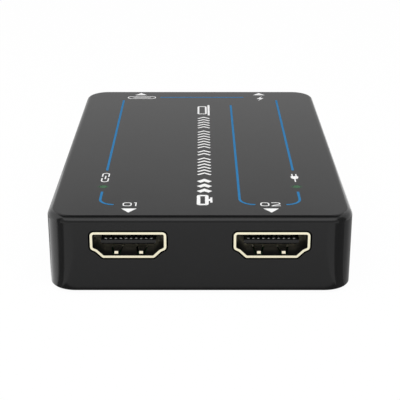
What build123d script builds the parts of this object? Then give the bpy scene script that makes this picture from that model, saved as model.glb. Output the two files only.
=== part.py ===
from build123d import *
import os

# A flat case with two video sockets in front, and a data port and a power port behind.
# Millimetres: x runs across the front, y from the front to the back, z up from the table.

# Case
case_width = 60.5
case_depth = 90.5
case_height = 15.7
corner_radius = 5.5
top_round = 1.3
bottom_round = 0.3
wall = 1.8
roof = 1.6

# Bottom cover, which drops into a step in the walls
cover_thickness = 1.6
cover_skirt = 0.9
cover_gap = 0.15

# Rubber feet, set in shallow recesses of the cover
foot_radius = 4.0
foot_thickness = 1.2
foot_recess = 0.4
foot_round = 0.4
foot_from_side = 9.0
foot_from_end = 16.0

# Circuit board, its upper face this far above the case's underside
board_height = 6.6
board_thickness = 1.6
board_gap = 1.0
board_corner_radius = 1.5

# Columns for the cover's screws and bosses for the board's screws
column_radius = 2.8
column_into_wall = 0.3
boss_radius = 2.3
boss_from_board_side = 2.6
front_boss_y = -12.0
back_boss_y = 27.0
rib_thickness = 1.2
rib_over_board = 1.5

# Screws
screw_radius = 1.0
screw_play = 0.05
cover_screw_head_radius = 2.0
cover_screw_length = 8.0
board_screw_head_radius = 1.9
board_screw_head_height = 1.2
board_screw_length = 6.0
board_hole_radius = 1.15
cross_width = 0.55
cross_span = 2.2
cross_depth = 0.7
pilot_spare = 0.8

# Video sockets: the opening's outline, then the sheet, the lip, and the tongue inside it
video_from_side = 16.19
video_middle_height = 9.9
video_width = 14.0
video_height = 4.5
video_floor_width = 9.7
video_knee_width = 12.3
video_knee_height = 1.26
video_shoulder_height = 1.66
video_corner_radius = 0.35
video_floor_radius = 0.1
video_knee_radius = 0.7
least_radius = 0.1
video_sheet = 0.4
video_lip = 0.47
video_lip_depth = 0.5
video_gap = 0.33
video_depth = 11.0
video_base_depth = 8.6
video_tongue_width = 10.8
video_tongue_top = 2.87
video_tongue_thickness = 1.0
video_tongue_setback = 1.2
video_tongue_chamfer = 0.36
video_tongue_corner = 0.6
insulator_gap = 0.05

# Spring fingers cut from the video shells
finger_offset = 2.45
finger_behind_lip = 0.1
finger_end = 5.2
finger_rise = 0.45
finger_rise_run = 0.42
finger_tip_width = 0.78
finger_root_width = 1.8
finger_slot = 0.35

# Video contacts
video_pitch = 1.0
video_upper_contacts = 10
video_contact_width = 0.5
video_neck_width = 0.24
contact_sheet = 0.15
contact_proud = 0.08
contact_play = 0.03
video_contact_start = 1.8
contact_tip_run = 0.07
contact_tip_height = 0.115
contact_tail = 0.9

# Legs that carry a socket's shell through the board
leg_width = 1.4
leg_shoulder = 0.5
leg_gap = 0.12
leg_under_board = 0.5
video_leg_depths = (5.0, 9.6)
port_leg_depths = (3.4, 7.2)

# Data port and power port at the back
port_from_side = 14.4
port_width = 8.34
port_height = 2.56
port_sheet = 0.3
port_depth = 8.6
port_base_depth = 6.2
port_tongue_width = 6.69
port_tongue_thickness = 0.7
port_tongue_setback = 0.9
port_pitch = 0.5
port_contacts_in_row = 12
port_contact_width = 0.28
port_contact_sheet = 0.1
port_contact_start = 1.3
port_row_step = 0.35
port_wall = 1.0
port_wall_gap = 0.15
port_side_gap = 0.6
port_window_margin = 0.5
port_window_chamfer = 0.35

# Light pipes and the lamps under them
lamp_from_side = 10.1
lamp_from_front = 16.95
pipe_radius = 0.75
pipe_gap = 0.05
pipe_flange_radius = 1.5
pipe_flange_thickness = 0.8
pipe_over_lamp = 0.3
lamp_length = 2.0
lamp_width = 1.25
lamp_height = 0.8
lamp_lens_length = 1.2
lamp_base = 0.3

# Capture chip with its pad and heat sink
capture_size = 13.0
capture_y = 2.0
capture_base = 0.4
capture_height = 1.3
capture_margin = 0.6
pad_size = 11.0
pad_thickness = 0.5
sink_size = 16.0
sink_base = 1.2
sink_height = 4.4
sink_fins = 6
sink_fin_thickness = 1.0

# Splitter chip with legs on four sides
splitter_size = 10.0
splitter_y = -20.0
splitter_height = 1.2
splitter_legs = 12
splitter_pitch = 0.7
leg_reach = 1.0
leg_metal = 0.15
leg_foot = 0.5

# Chips without legs
controller_size = 7.0
controller_y = 20.0
power_chip_size = 5.0
power_chip_y = 26.0
flat_chip_height = 0.85
chip_mark_radius = 0.35
chip_mark_depth = 0.08
chip_chamfer = 0.12

# Memory chip with legs on two sides
memory_length = 4.9
memory_width = 3.9
memory_height = 1.5
memory_from_board_side = 10.45
memory_y = 3.0
memory_legs = 4
memory_pitch = 1.27

# Regulators with their inductors
regulator_length = 2.9
regulator_width = 1.6
regulator_height = 1.0
regulator_legs = 3
regulator_pitch = 0.95
regulator_reach = 0.6
supply_count = 3
supply_from_board_side = 5.25
supply_step = 5.6
regulator_y = 13.2
inductor_size = 4.0
inductor_height = 2.0
inductor_y = 18.0
inductor_terminal = 0.9
inductor_inset = 0.15

# Round capacitors
can_radius = 2.5
can_height = 5.2
can_base = 1.2
can_base_side = 5.3
can_groove = 0.2
can_from_board_side = 6.15
can_y = 4.6
can_step = 6.4
spare_can_x = 4.0
spare_can_y = 32.0

# Crystals
crystal_length = 3.2
crystal_width = 2.5
crystal_base = 0.3
crystal_height = 0.8
crystal_inset = 0.2
crystal_from_splitter = 4.4

# Surge arrays behind the video sockets
array_length = 2.5
array_width = 1.0
array_height = 0.5
array_step = 3.2
array_behind_socket = 3.4

# Small capacitors and resistors
small_length = 1.6
small_width = 0.8
capacitor_height = 0.8
resistor_height = 0.45
small_end = 0.3
small_inset = 0.05
small_step = 2.4

case_floor = foot_thickness - foot_recess
case_top = case_floor + case_height
roof_under = case_top - roof
cover_top = case_floor + cover_thickness
front = -case_depth / 2
back = case_depth / 2
inner_x = case_width / 2 - wall
inner_y = case_depth / 2 - wall
column_x = inner_x - column_radius + column_into_wall
column_y = inner_y - column_radius + column_into_wall
board_top = case_floor + board_height
board_under = board_top - board_thickness
board_x = inner_x - board_gap
board_y = inner_y - board_gap
boss_x = board_x - boss_from_board_side
foot_x = case_width / 2 - foot_from_side
foot_y = case_depth / 2 - foot_from_end
video_spacing = case_width - 2 * video_from_side
video_x = video_spacing / 2
video_floor = case_floor + video_middle_height - video_height / 2
finger_start = video_lip_depth + finger_slot + finger_behind_lip
lamp_x = case_width / 2 - lamp_from_side
lamp_y = front + lamp_from_front
port_offset = case_width / 2 - port_from_side
port_floor = board_top + port_sheet
port_mouth = back - port_wall - port_wall_gap
array_y = front + video_depth + array_behind_socket
memory_x = memory_from_board_side - board_x
supply_x = board_x - supply_from_board_side - (supply_count - 1) * supply_step
can_x = board_x - can_from_board_side
crystal_x = splitter_size / 2 + leg_reach + crystal_from_splitter + crystal_length / 2


def along_y(face, start, end):
    """Stretches a face drawn in x and z from one y to another."""
    return Pos(0, start, 0) * extrude(Plane.XZ * face, end - start, dir=(0, 1, 0))


def block(size_x, size_y, size_z, x=0, y=0, z=0):
    """A block whose underside is centred on a point."""
    return Pos(x, y, z) * Box(size_x, size_y, size_z, align=(Align.CENTER, Align.CENTER, Align.MIN))


def rod(radius, height, x=0, y=0, z=0):
    """An upright rod whose underside is centred on a point."""
    return Pos(x, y, z) * Cylinder(radius, height, align=(Align.CENTER, Align.CENTER, Align.MIN))


def between(x_low, x_high, y_low, y_high, z_low, z_high):
    """A block between two limits on each axis."""
    middle = Pos((x_low + x_high) / 2, (y_low + y_high) / 2, (z_low + z_high) / 2)
    return middle * Box(x_high - x_low, y_high - y_low, z_high - z_low)


def rounded_slab(width, depth, radius, low, high):
    """An upright slab with rounded corners between two heights."""
    return Pos(0, 0, low) * extrude(RectangleRounded(width, depth, radius), high - low)


def corner_places(x, y):
    """The four places that mirror each other about both axes."""
    return [(sign_x * x, sign_y * y) for sign_x in (-1, 1) for sign_y in (-1, 1)]


def boss_places():
    """The places of the board's screws and of the bosses that they bite into."""
    return [(x, y) for x in (-boss_x, boss_x) for y in (front_boss_y, back_boss_y)]


def grown(points, amount):
    """The corners of a polygon with each side moved outward by one amount."""
    moved = []
    for place, here in enumerate(points):
        before, after = points[place - 1], points[(place + 1) % len(points)]
        arriving = (Vector(here) - Vector(before)).normalized()
        leaving = (Vector(after) - Vector(here)).normalized()
        out_before = Vector(arriving.Y, -arriving.X)
        out_after = Vector(leaving.Y, -leaving.X)
        share = amount / (1 + out_before.dot(out_after))
        moved.append(Vector(here) + (out_before + out_after) * share)
    return moved


def video_outline(grow=0.0):
    """The video opening in x and z, with its floor at z 0 and each side moved out by grow."""
    half, knee = video_width / 2, video_knee_width / 2
    right = [(video_floor_width / 2, 0), (knee, video_knee_height), (half, video_shoulder_height)]
    right.append((half, video_height))
    corners = right + [(-x, z) for x, z in reversed(right)]
    floor_radius = video_floor_radius + max(grow, 0)
    knee_radius = max(video_knee_radius - grow, least_radius)
    side_radius = max(video_corner_radius + grow, least_radius)
    right_radii = [floor_radius, knee_radius, side_radius, side_radius]
    edges = FilletPolyline(*grown(corners, grow), radius=right_radii + right_radii[::-1], close=True)
    return make_face(edges)


def port_outline(grow=0.0):
    """The data port's opening in x and z, with its floor at z 0 and each side moved out by grow."""
    middle = Pos(0, port_height / 2)
    return middle * SlotOverall(port_width + 2 * grow, port_height + 2 * grow)


def pilot_hole(x, y, low, length):
    """A blind hole for a screw, open downward."""
    return rod(screw_radius + screw_play, length + pilot_spare, x, y, low)


def housing():
    """The deep shell: roof and walls in one, with columns, bosses and the sockets' windows."""
    shell = rounded_slab(case_width, case_depth, corner_radius, case_floor, case_top)
    shell = fillet(shell.faces().sort_by(Axis.Z)[-1].edges(), top_round)
    shell = fillet(shell.faces().sort_by(Axis.Z)[0].edges(), bottom_round)
    shell -= rounded_slab(2 * inner_x, 2 * inner_y, corner_radius - wall, case_floor, roof_under)
    step_x, step_y = case_width - 2 * cover_skirt, case_depth - 2 * cover_skirt
    shell -= rounded_slab(step_x, step_y, corner_radius - cover_skirt, case_floor, cover_top)
    for x, y in corner_places(column_x, column_y):
        shell += rod(column_radius, roof_under - cover_top, x, y, cover_top)
        shell -= pilot_hole(x, y, cover_top, cover_screw_length - cover_thickness)
    for x, y in boss_places():
        shell += rod(boss_radius, roof_under - board_top, x, y, board_top)
        low_x, high_x = sorted((x, inner_x if x > 0 else -inner_x))
        rib_low = board_top + rib_over_board
        shell += between(low_x, high_x, y - rib_thickness / 2, y + rib_thickness / 2, rib_low, roof_under)
        shell -= pilot_hole(x, y, board_top, board_screw_length - board_thickness)
    for side in (-1, 1):
        window = video_outline(video_lip + video_gap)
        shell -= Pos(side * video_x, 0, video_floor) * along_y(window, front, front + wall)
        shell -= Pos(side * port_offset, 0, 0) * port_relief()
        shell -= Pos(side * lamp_x, lamp_y, roof_under) * rod(pipe_radius + pipe_gap, roof)
    return shell


def port_relief():
    """What is cut from the back wall at a port: a thinner place inside, and the plug's window."""
    half = port_width / 2 + port_sheet + port_side_gap
    high = port_floor + port_height + port_sheet + port_side_gap
    thinner = between(-half, half, inner_y, back - port_wall, cover_top, high)
    window = along_y(port_outline(port_window_margin), inner_y, back)
    outer, inner = back, back - port_window_chamfer
    flare = loft([
        Plane.XZ.offset(-outer) * port_outline(port_window_margin + port_window_chamfer),
        Plane.XZ.offset(-inner) * port_outline(port_window_margin),
    ])
    return thinner + Pos(0, 0, port_floor) * (window + flare)


def bottom_cover():
    """The plate inside the walls' step, with countersunk holes and recesses for the feet."""
    margin = cover_skirt + cover_gap
    size_x, size_y = case_width - 2 * margin, case_depth - 2 * margin
    plate = rounded_slab(size_x, size_y, corner_radius - margin, case_floor, cover_top)
    for x, y in corner_places(column_x, column_y):
        plate -= Pos(x, y, 0) * cover_screw_shape(screw_play)
    for x, y in corner_places(foot_x, foot_y):
        plate -= rod(foot_radius + cover_gap, foot_recess, x, y, case_floor)
    return plate


def cross_recess(low):
    """The cross cut upward into a screw's head, from the height of the head's face."""
    arm = block(cross_span, cross_width, cross_depth, 0, 0, low)
    return arm + Rot(0, 0, 90) * arm


def cover_screw_shape(play=0.0):
    """A countersunk screw at the origin, its head level with the cover's underside."""
    cone_height = cover_screw_head_radius - screw_radius
    head_radius, shank_radius = cover_screw_head_radius + play, screw_radius + play
    cone = Pos(0, 0, case_floor) * Cone(
        head_radius, shank_radius, cone_height, align=(Align.CENTER, Align.CENTER, Align.MIN))
    return cone + rod(shank_radius, cover_screw_length, 0, 0, case_floor)


def cover_screws():
    """Four countersunk screws that hold the cover to the columns."""
    screw = cover_screw_shape() - cross_recess(case_floor)
    return [Pos(x, y, 0) * screw for x, y in corner_places(column_x, column_y)]


def rubber_feet():
    """Four round feet, stuck in the cover's recesses."""
    foot = rod(foot_radius, foot_thickness)
    foot = fillet(foot.faces().sort_by(Axis.Z)[0].edges(), foot_round)
    return [Pos(x, y, 0) * foot for x, y in corner_places(foot_x, foot_y)]


def board_screws():
    """Four pan-head screws that hold the board up against the bosses."""
    low = board_under - board_screw_head_height
    head = rod(board_screw_head_radius, board_screw_head_height, 0, 0, low)
    head = fillet(head.faces().sort_by(Axis.Z)[0].edges(), board_screw_head_height / 2)
    screw = head + rod(screw_radius, board_screw_length, 0, 0, board_under)
    screw -= cross_recess(low)
    return [Pos(x, y, 0) * screw for x, y in boss_places()]


def leg_places():
    """The middle of every shell leg, with the thickness of its sheet."""
    places = []
    for side in (-1, 1):
        for edge in (-1, 1):
            middle = side * video_x + edge * (video_width + video_sheet) / 2
            places += [(middle, front + depth, video_sheet) for depth in video_leg_depths]
            middle = side * port_offset + edge * (port_width + port_sheet) / 2
            places += [(middle, port_mouth - depth, port_sheet) for depth in port_leg_depths]
    return places


def circuit_board():
    """The board: notched round the columns, drilled for its screws, slotted for the shells' legs."""
    board = rounded_slab(2 * board_x, 2 * board_y, board_corner_radius, board_under, board_top)
    for x, y in corner_places(column_x, column_y):
        board -= rod(column_radius + board_gap, board_thickness, x, y, board_under)
        reach = column_radius + board_gap
        toward_x, toward_y = (reach if x > 0 else -reach), (reach if y > 0 else -reach)
        board -= block(2 * reach, reach, board_thickness, x + toward_x, y + toward_y / 2, board_under)
        board -= block(reach, 2 * reach, board_thickness, x + toward_x / 2, y + toward_y, board_under)
    for x, y in boss_places():
        board -= rod(board_hole_radius, board_thickness, x, y, board_under)
    for x, y, sheet in leg_places():
        slot = RectangleRounded(sheet + 2 * leg_gap, leg_width + 2 * leg_gap, leg_gap)
        board -= Pos(x, y, board_under) * extrude(slot, board_thickness)
    return board


def shell_legs(width, sheet, depths, upper, board):
    """Legs on both sides of a shell: a shoulder that stands on the board and a tab through it."""
    legs = []
    for side in (-1, 1):
        low_x, high_x = sorted((side * width / 2, side * (width / 2 + sheet)))
        for depth in depths:
            half = leg_width / 2
            wide = half + leg_shoulder
            legs.append(between(low_x, high_x, depth - wide, depth + wide, board, upper))
            tip = board - board_thickness - leg_under_board
            legs.append(between(low_x, high_x, depth - half, depth + half, tip, board))
    return legs


def finger_plan(grow=0.0):
    """A spring finger seen from above, narrow at its free tip, grown by the slot round it."""
    tip, root = finger_tip_width / 2 + grow, finger_root_width / 2 + grow
    start = finger_start - grow
    return Polygon((-tip, start), (tip, start), (root, finger_end), (-root, finger_end))


def spring_finger():
    """A finger that rises from the opening's floor at its tip and runs back down to its root."""
    crest = finger_start + finger_rise_run
    upper = [(finger_start, 0), (crest, finger_rise), (finger_end, 0)]
    lower = [(y, z - video_sheet) for y, z in reversed(upper)]
    side = Plane.YZ * Polygon(*upper, *lower)
    strip = extrude(side, finger_root_width, dir=(1, 0, 0), both=True)
    plan = Pos(0, 0, -video_sheet) * extrude(finger_plan(), video_sheet + finger_rise)
    return strip & plan


def video_shell():
    """A video socket's sheet shell, its mouth at y 0 and its floor at z 0, open behind."""
    board = board_top - video_floor
    shell = along_y(video_outline(video_sheet), 0, video_depth)
    shell += along_y(video_outline(video_lip), 0, video_lip_depth)
    for leg in shell_legs(video_width, video_sheet, video_leg_depths, video_height / 2, board):
        shell += leg
    shell -= along_y(video_outline(), 0, video_depth)
    window = Pos(0, 0, -video_sheet) * extrude(finger_plan(finger_slot), video_sheet)
    finger = spring_finger()
    middle = Plane.XY.offset(video_height / 2)
    for x in (-finger_offset, finger_offset):
        for half in (lambda shape: shape, lambda shape: mirror(shape, middle)):
            shell -= Pos(x, 0, 0) * half(window)
            shell += Pos(x, 0, 0) * half(finger)
    return shell


def video_contact_rows():
    """Each contact's x, its outer face's height, and which way that face looks."""
    first = -(video_upper_contacts - 1) / 2 * video_pitch
    upper = [(first + place * video_pitch, video_tongue_top, 1) for place in range(video_upper_contacts)]
    under = video_tongue_top - video_tongue_thickness
    lower = [(first + (place + 0.5) * video_pitch, under, -1) for place in range(video_upper_contacts - 1)]
    return upper + lower


def contact_strip(x, width, sheet, face, looks, start, end, play=0.0):
    """A flat strip let into a face of the tongue, standing a little proud of it."""
    outer, inner = face + looks * contact_proud, face + looks * (contact_proud - sheet)
    low, high = sorted((outer + looks * play, inner))
    return between(x - width / 2 - play, x + width / 2 + play, start - play, end, low, high)


def contact_neck(x, width, sheet, face, looks, start, end, play=0.0):
    """The narrow part of a contact that passes through the insulator's base."""
    outer, inner = face + looks * (contact_proud + play), face + looks * (contact_proud - sheet - play)
    low, high = sorted((outer, inner))
    return between(x - width / 2 - play, x + width / 2 + play, start, end, low, high)


def video_tongue():
    """The insulator: a base that closes the shell's back, and the tongue with its grooves."""
    base = along_y(video_outline(-insulator_gap), video_base_depth, video_depth)
    half = video_tongue_width / 2
    under = video_tongue_top - video_tongue_thickness
    slope_end = video_tongue_top - video_tongue_corner
    section = Polygon(
        (-half + video_tongue_corner, under), (half - video_tongue_corner, under),
        (half, slope_end), (half, video_tongue_top), (-half, video_tongue_top), (-half, slope_end))
    tongue = along_y(section, video_tongue_setback, video_base_depth)
    lower_front = tongue.edges().filter_by(Axis.X).group_by(Axis.Y)[0].sort_by(Axis.Z)[0]
    body = base + chamfer(lower_front, video_tongue_chamfer)
    for x, face, looks in video_contact_rows():
        body -= contact_strip(x, video_contact_width, contact_sheet, face, looks,
                              video_contact_start, video_base_depth, contact_play)
        body -= contact_neck(x, video_neck_width, contact_sheet, face, looks,
                             video_base_depth, video_depth, contact_play)
    return body


def video_contacts():
    """The contacts: a strip on the tongue, a neck through the base, and a tail down to the board."""
    board = board_top - video_floor
    contacts = []
    for x, face, looks in video_contact_rows():
        strip = contact_strip(x, video_contact_width, contact_sheet, face, looks,
                              video_contact_start, video_base_depth)
        outer = -1 if looks > 0 else 0
        outer_face = strip.faces().sort_by(Axis.Z)[outer]
        outer_tip = strip.edges().filter_by(Axis.X).group_by(Axis.Y)[0].sort_by(Axis.Z)[outer]
        strip = chamfer(outer_tip, contact_tip_run, contact_tip_height, reference=outer_face)
        drop_start = video_depth + contact_play
        contact = strip + contact_neck(x, video_neck_width, contact_sheet, face, looks,
                                       video_base_depth, drop_start)
        contacts.append(contact + contact_drop(x, video_neck_width, contact_sheet, face, looks,
                                               drop_start, board, contact_tail))
    return contacts


def contact_drop(x, width, sheet, face, looks, start, board, tail):
    """The end of a contact behind the base: down to the board, and back along it."""
    low_x, high_x = x - width / 2, x + width / 2
    high = max(face + looks * contact_proud, face + looks * (contact_proud - sheet))
    drop = between(low_x, high_x, start, start + sheet, board, high)
    return drop + between(low_x, high_x, start, start + tail, board, board + sheet) if tail else drop


def port_shell():
    """A small port's sheet shell, its mouth at y 0 and its floor at z 0, open behind."""
    shell = along_y(port_outline(port_sheet), 0, port_depth)
    for leg in shell_legs(port_width, port_sheet, port_leg_depths, port_height / 2, -port_sheet):
        shell += leg
    return shell - along_y(port_outline(), 0, port_depth)


def port_contact_rows():
    """Each contact's x, its outer face's height, and which way that face looks."""
    first = -(port_contacts_in_row - 1) / 2 * port_pitch
    rows = []
    for looks in (-1, 1):
        face = port_height / 2 + looks * port_tongue_thickness / 2
        rows += [(first + place * port_pitch, face, looks) for place in range(port_contacts_in_row)]
    return rows


def port_tongue():
    """A small port's insulator: its base and the flat tongue in the middle of the opening."""
    base = along_y(port_outline(-insulator_gap), port_base_depth, port_depth)
    section = Pos(0, port_height / 2) * Rectangle(port_tongue_width, port_tongue_thickness)
    tongue = along_y(section, port_tongue_setback, port_base_depth)
    upright = tongue.edges().filter_by(Axis.Z).group_by(Axis.Y)[0]
    body = base + fillet(upright, port_tongue_thickness / 2)
    for x, face, looks in port_contact_rows():
        body -= contact_strip(x, port_contact_width, port_contact_sheet, face, looks,
                              port_contact_start, port_base_depth, contact_play)
        body -= contact_neck(x, port_contact_width, port_contact_sheet, face, looks,
                             port_base_depth, port_depth, contact_play)
    return body


def port_contacts():
    """Two rows of contacts; the upper row drops to the board behind the lower row."""
    contacts = []
    for x, face, looks in port_contact_rows():
        start = port_depth + contact_play + (port_row_step if looks > 0 else 0)
        strip = contact_strip(x, port_contact_width, port_contact_sheet, face, looks,
                              port_contact_start, port_base_depth)
        neck = contact_neck(x, port_contact_width, port_contact_sheet, face, looks,
                            port_base_depth, start)
        tail = contact_tail if looks > 0 else 0
        drop = contact_drop(x, port_contact_width, port_contact_sheet, face, looks,
                            start, -port_sheet, tail)
        contacts.append(strip + neck + drop)
    return contacts


def at_front(shape, side):
    """Puts a video socket's piece in the front wall."""
    return Pos(side * video_x, front, video_floor) * shape


def at_back(shape, side):
    """Turns a small port's piece round and puts it at the back wall."""
    return Pos(side * port_offset, port_mouth, port_floor) * Rot(0, 0, 180) * shape


def light_pipe():
    """A clear rod from the lamp up to the top face, with a flange that stops under the roof."""
    low = board_top + lamp_height + pipe_over_lamp
    rod_part = rod(pipe_radius, case_top - low, 0, 0, low)
    flange = rod(pipe_flange_radius, pipe_flange_thickness, 0, 0, roof_under - pipe_flange_thickness)
    return rod_part + flange


def lamp():
    """A small lamp on the board, a clear lens on a flat base."""
    base = block(lamp_length, lamp_width, lamp_base, 0, 0, board_top)
    lens = block(lamp_lens_length, lamp_width, lamp_height - lamp_base, 0, 0, board_top + lamp_base)
    return base + chamfer(lens.faces().sort_by(Axis.Z)[-1].edges(), chip_chamfer)


def marked(chip, size_x, size_y, top):
    """Takes a round mark for the first leg out of a chip's upper face."""
    from_edge = 3 * chip_mark_radius
    mark = rod(chip_mark_radius, chip_mark_depth, from_edge - size_x / 2, size_y / 2 - from_edge,
               top - chip_mark_depth)
    return chip - mark


def flat_chip(size_x, size_y, height):
    """A chip without visible legs, with chamfered upper edges."""
    body = block(size_x, size_y, height, 0, 0, board_top)
    body = chamfer(body.faces().sort_by(Axis.Z)[-1].edges(), chip_chamfer)
    return marked(body, size_x, size_y, board_top + height)


def gull_leg(height, reach, width, edge):
    """A leg that leaves a chip's side at half height, steps down and lies on the board."""
    half = height / 2
    outer = edge + reach
    bend = outer - leg_foot
    profile = Polygon(
        (edge, half), (bend, half), (bend, leg_metal), (outer, leg_metal), (outer, 0),
        (bend - leg_metal, 0), (bend - leg_metal, half - leg_metal), (edge, half - leg_metal))
    return Pos(0, 0, board_top) * extrude(Plane.YZ * profile, width / 2, dir=(1, 0, 0), both=True)


def legged_chip(size_x, size_y, height, count, pitch, reach, sides):
    """A moulded chip with rows of legs on its long sides, or on all four."""
    body = block(size_x, size_y, height - leg_metal, 0, 0, board_top + leg_metal)
    body = chamfer(body.faces().sort_by(Axis.Z)[-1].edges(), chip_chamfer)
    chip = marked(body, size_x, size_y, board_top + height)
    for quarter in range(0, 4, 4 // sides):
        edge = (size_y if quarter % 2 == 0 else size_x) / 2
        leg = gull_leg(height, reach, pitch / 2, edge)
        first = -(count - 1) / 2 * pitch
        chip += [Rot(0, 0, 90 * quarter) * Pos(first + place * pitch, 0, 0) * leg for place in range(count)]
    return chip


def capture_chip():
    """The large chip: a thin base with a moulded block on it."""
    base = block(capture_size, capture_size, capture_base, 0, 0, board_top)
    cap_size = capture_size - 2 * capture_margin
    cap = block(cap_size, cap_size, capture_height - capture_base, 0, 0, board_top + capture_base)
    chip = base + chamfer(cap.faces().sort_by(Axis.Z)[-1].edges(), chip_chamfer)
    return Pos(0, capture_y, 0) * chip


def thermal_pad():
    """The soft pad between the capture chip and its heat sink."""
    return block(pad_size, pad_size, pad_thickness, 0, capture_y, board_top + capture_height)


def heat_sink():
    """A plate with upright fins on the thermal pad."""
    low = board_top + capture_height + pad_thickness
    sink = block(sink_size, sink_size, sink_base, 0, capture_y, low)
    step = (sink_size - sink_fin_thickness) / (sink_fins - 1)
    for place in range(sink_fins):
        x = -(sink_size - sink_fin_thickness) / 2 + place * step
        sink += block(sink_fin_thickness, sink_size, sink_height - sink_base, x, capture_y, low + sink_base)
    return sink


def supply_places(y):
    """The places of the supply stages along one row."""
    return [Pos(supply_x + place * supply_step, y, 0) for place in range(supply_count)]


def inductor():
    """A square inductor with its two end terminals."""
    middle_length = inductor_size - 2 * inductor_terminal
    core = block(middle_length, inductor_size, inductor_height, 0, 0, board_top)
    end_width, end_height = inductor_size - 2 * inductor_inset, inductor_height - inductor_inset
    return core + block(inductor_size, end_width, end_height, 0, 0, board_top)


def can_capacitor():
    """A round metal can on a square base."""
    base = block(can_base_side, can_base_side, can_base, 0, 0, board_top)
    base = chamfer(base.edges().filter_by(Axis.Z).sort_by(Axis.Y)[-2:], can_base_side / 6)
    can = rod(can_radius, can_height - can_base, 0, 0, board_top + can_base)
    can = fillet(can.faces().sort_by(Axis.Z)[-1].edges(), can_groove)
    waist = rod(can_radius + can_groove, can_groove, 0, 0, board_top + 2 * can_base)
    waist -= rod(can_radius - can_groove, can_groove, 0, 0, board_top + 2 * can_base)
    return base + (can - waist)


def can_capacitors():
    """The reservoir capacitors: a pair at the side, and one by the power port."""
    places = [(can_x, can_y), (can_x, can_y - can_step), (spare_can_x, spare_can_y)]
    return [Pos(x, y, 0) * can_capacitor() for x, y in places]


def crystal():
    """A clock crystal: a metal lid on a thin base."""
    base = block(crystal_length, crystal_width, crystal_base, 0, 0, board_top)
    lid_length, lid_width = crystal_length - 2 * crystal_inset, crystal_width - 2 * crystal_inset
    return base + block(lid_length, lid_width, crystal_height - crystal_base, 0, 0, board_top + crystal_base)


def small_part(height):
    """A small two-ended part: a body between two slightly thicker end caps."""
    body = block(small_length, small_width - 2 * small_inset, height - small_inset, 0, 0, board_top)
    for side in (-1, 1):
        body += block(small_end, small_width, height, side * (small_length - small_end) / 2, 0, board_top)
    return body


def row_of(shape, count, x, y, step_x=0.0, step_y=0.0, turn=0):
    """Copies of one small part at even steps, centred on a place."""
    first = -(count - 1) / 2
    return [Pos(x + (first + n) * step_x, y + (first + n) * step_y, 0) * Rot(0, 0, turn) * shape
            for n in range(count)]


def ceramic_capacitors():
    """Capacitors round the large chips and along the supply stages."""
    part = small_part(capacitor_height)
    beside_sink = sink_size / 2 + small_length
    beside_splitter = splitter_size / 2 + leg_reach + small_length
    behind_splitter = splitter_y + splitter_size / 2 + leg_reach + small_length
    parts = row_of(part, 5, 0, behind_splitter, step_x=small_step, turn=90)
    for side in (-1, 1):
        parts += row_of(part, 5, side * beside_sink, capture_y, step_y=small_step)
        parts += row_of(part, 3, side * beside_splitter, splitter_y + small_step, step_y=small_step)
    last_supply = supply_x + (supply_count - 1) * supply_step
    supply_middle = (supply_x + last_supply) / 2
    after_inductors = inductor_y + inductor_size / 2 + small_length
    parts += row_of(part, 3, supply_middle, after_inductors, step_x=supply_step, turn=0)
    beside_controller = -port_offset + controller_size / 2 + small_length
    parts += row_of(part, 3, beside_controller, controller_y, step_y=small_step)
    return parts


def chip_resistors():
    """Resistors behind the video sockets and round the small chips."""
    part = small_part(resistor_height)
    behind_arrays = array_y + array_width + small_length
    parts = []
    for side in (-1, 1):
        parts += row_of(part, 4, side * video_x, behind_arrays, step_x=small_step / 2, turn=90)
    before_memory = memory_y - memory_width / 2 - leg_reach - small_length
    parts += row_of(part, 4, memory_x, before_memory, step_x=small_step / 2, turn=90)
    beside_controller = -port_offset - controller_size / 2 - small_length
    parts += row_of(part, 3, beside_controller, controller_y, step_y=small_step)
    beside_power = port_offset + power_chip_size / 2 + small_length
    parts += row_of(part, 2, beside_power, power_chip_y, step_y=small_step)
    return parts


def surge_arrays():
    """Flat protection parts behind both video sockets."""
    part = block(array_length, array_width, array_height, 0, 0, board_top)
    part = chamfer(part.faces().sort_by(Axis.Z)[-1].edges(), chip_chamfer)
    return [copy for side in (-1, 1) for copy in row_of(part, 3, side * video_x, array_y, step_x=array_step)]


def write_node(name, shape):
    """Writes one node, a single solid or a group of separate solids."""
    if isinstance(shape, list):
        shape = Compound([solid for part in shape for solid in part.solids()])
    export_step(shape, f"parts/{name}.step")


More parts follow.
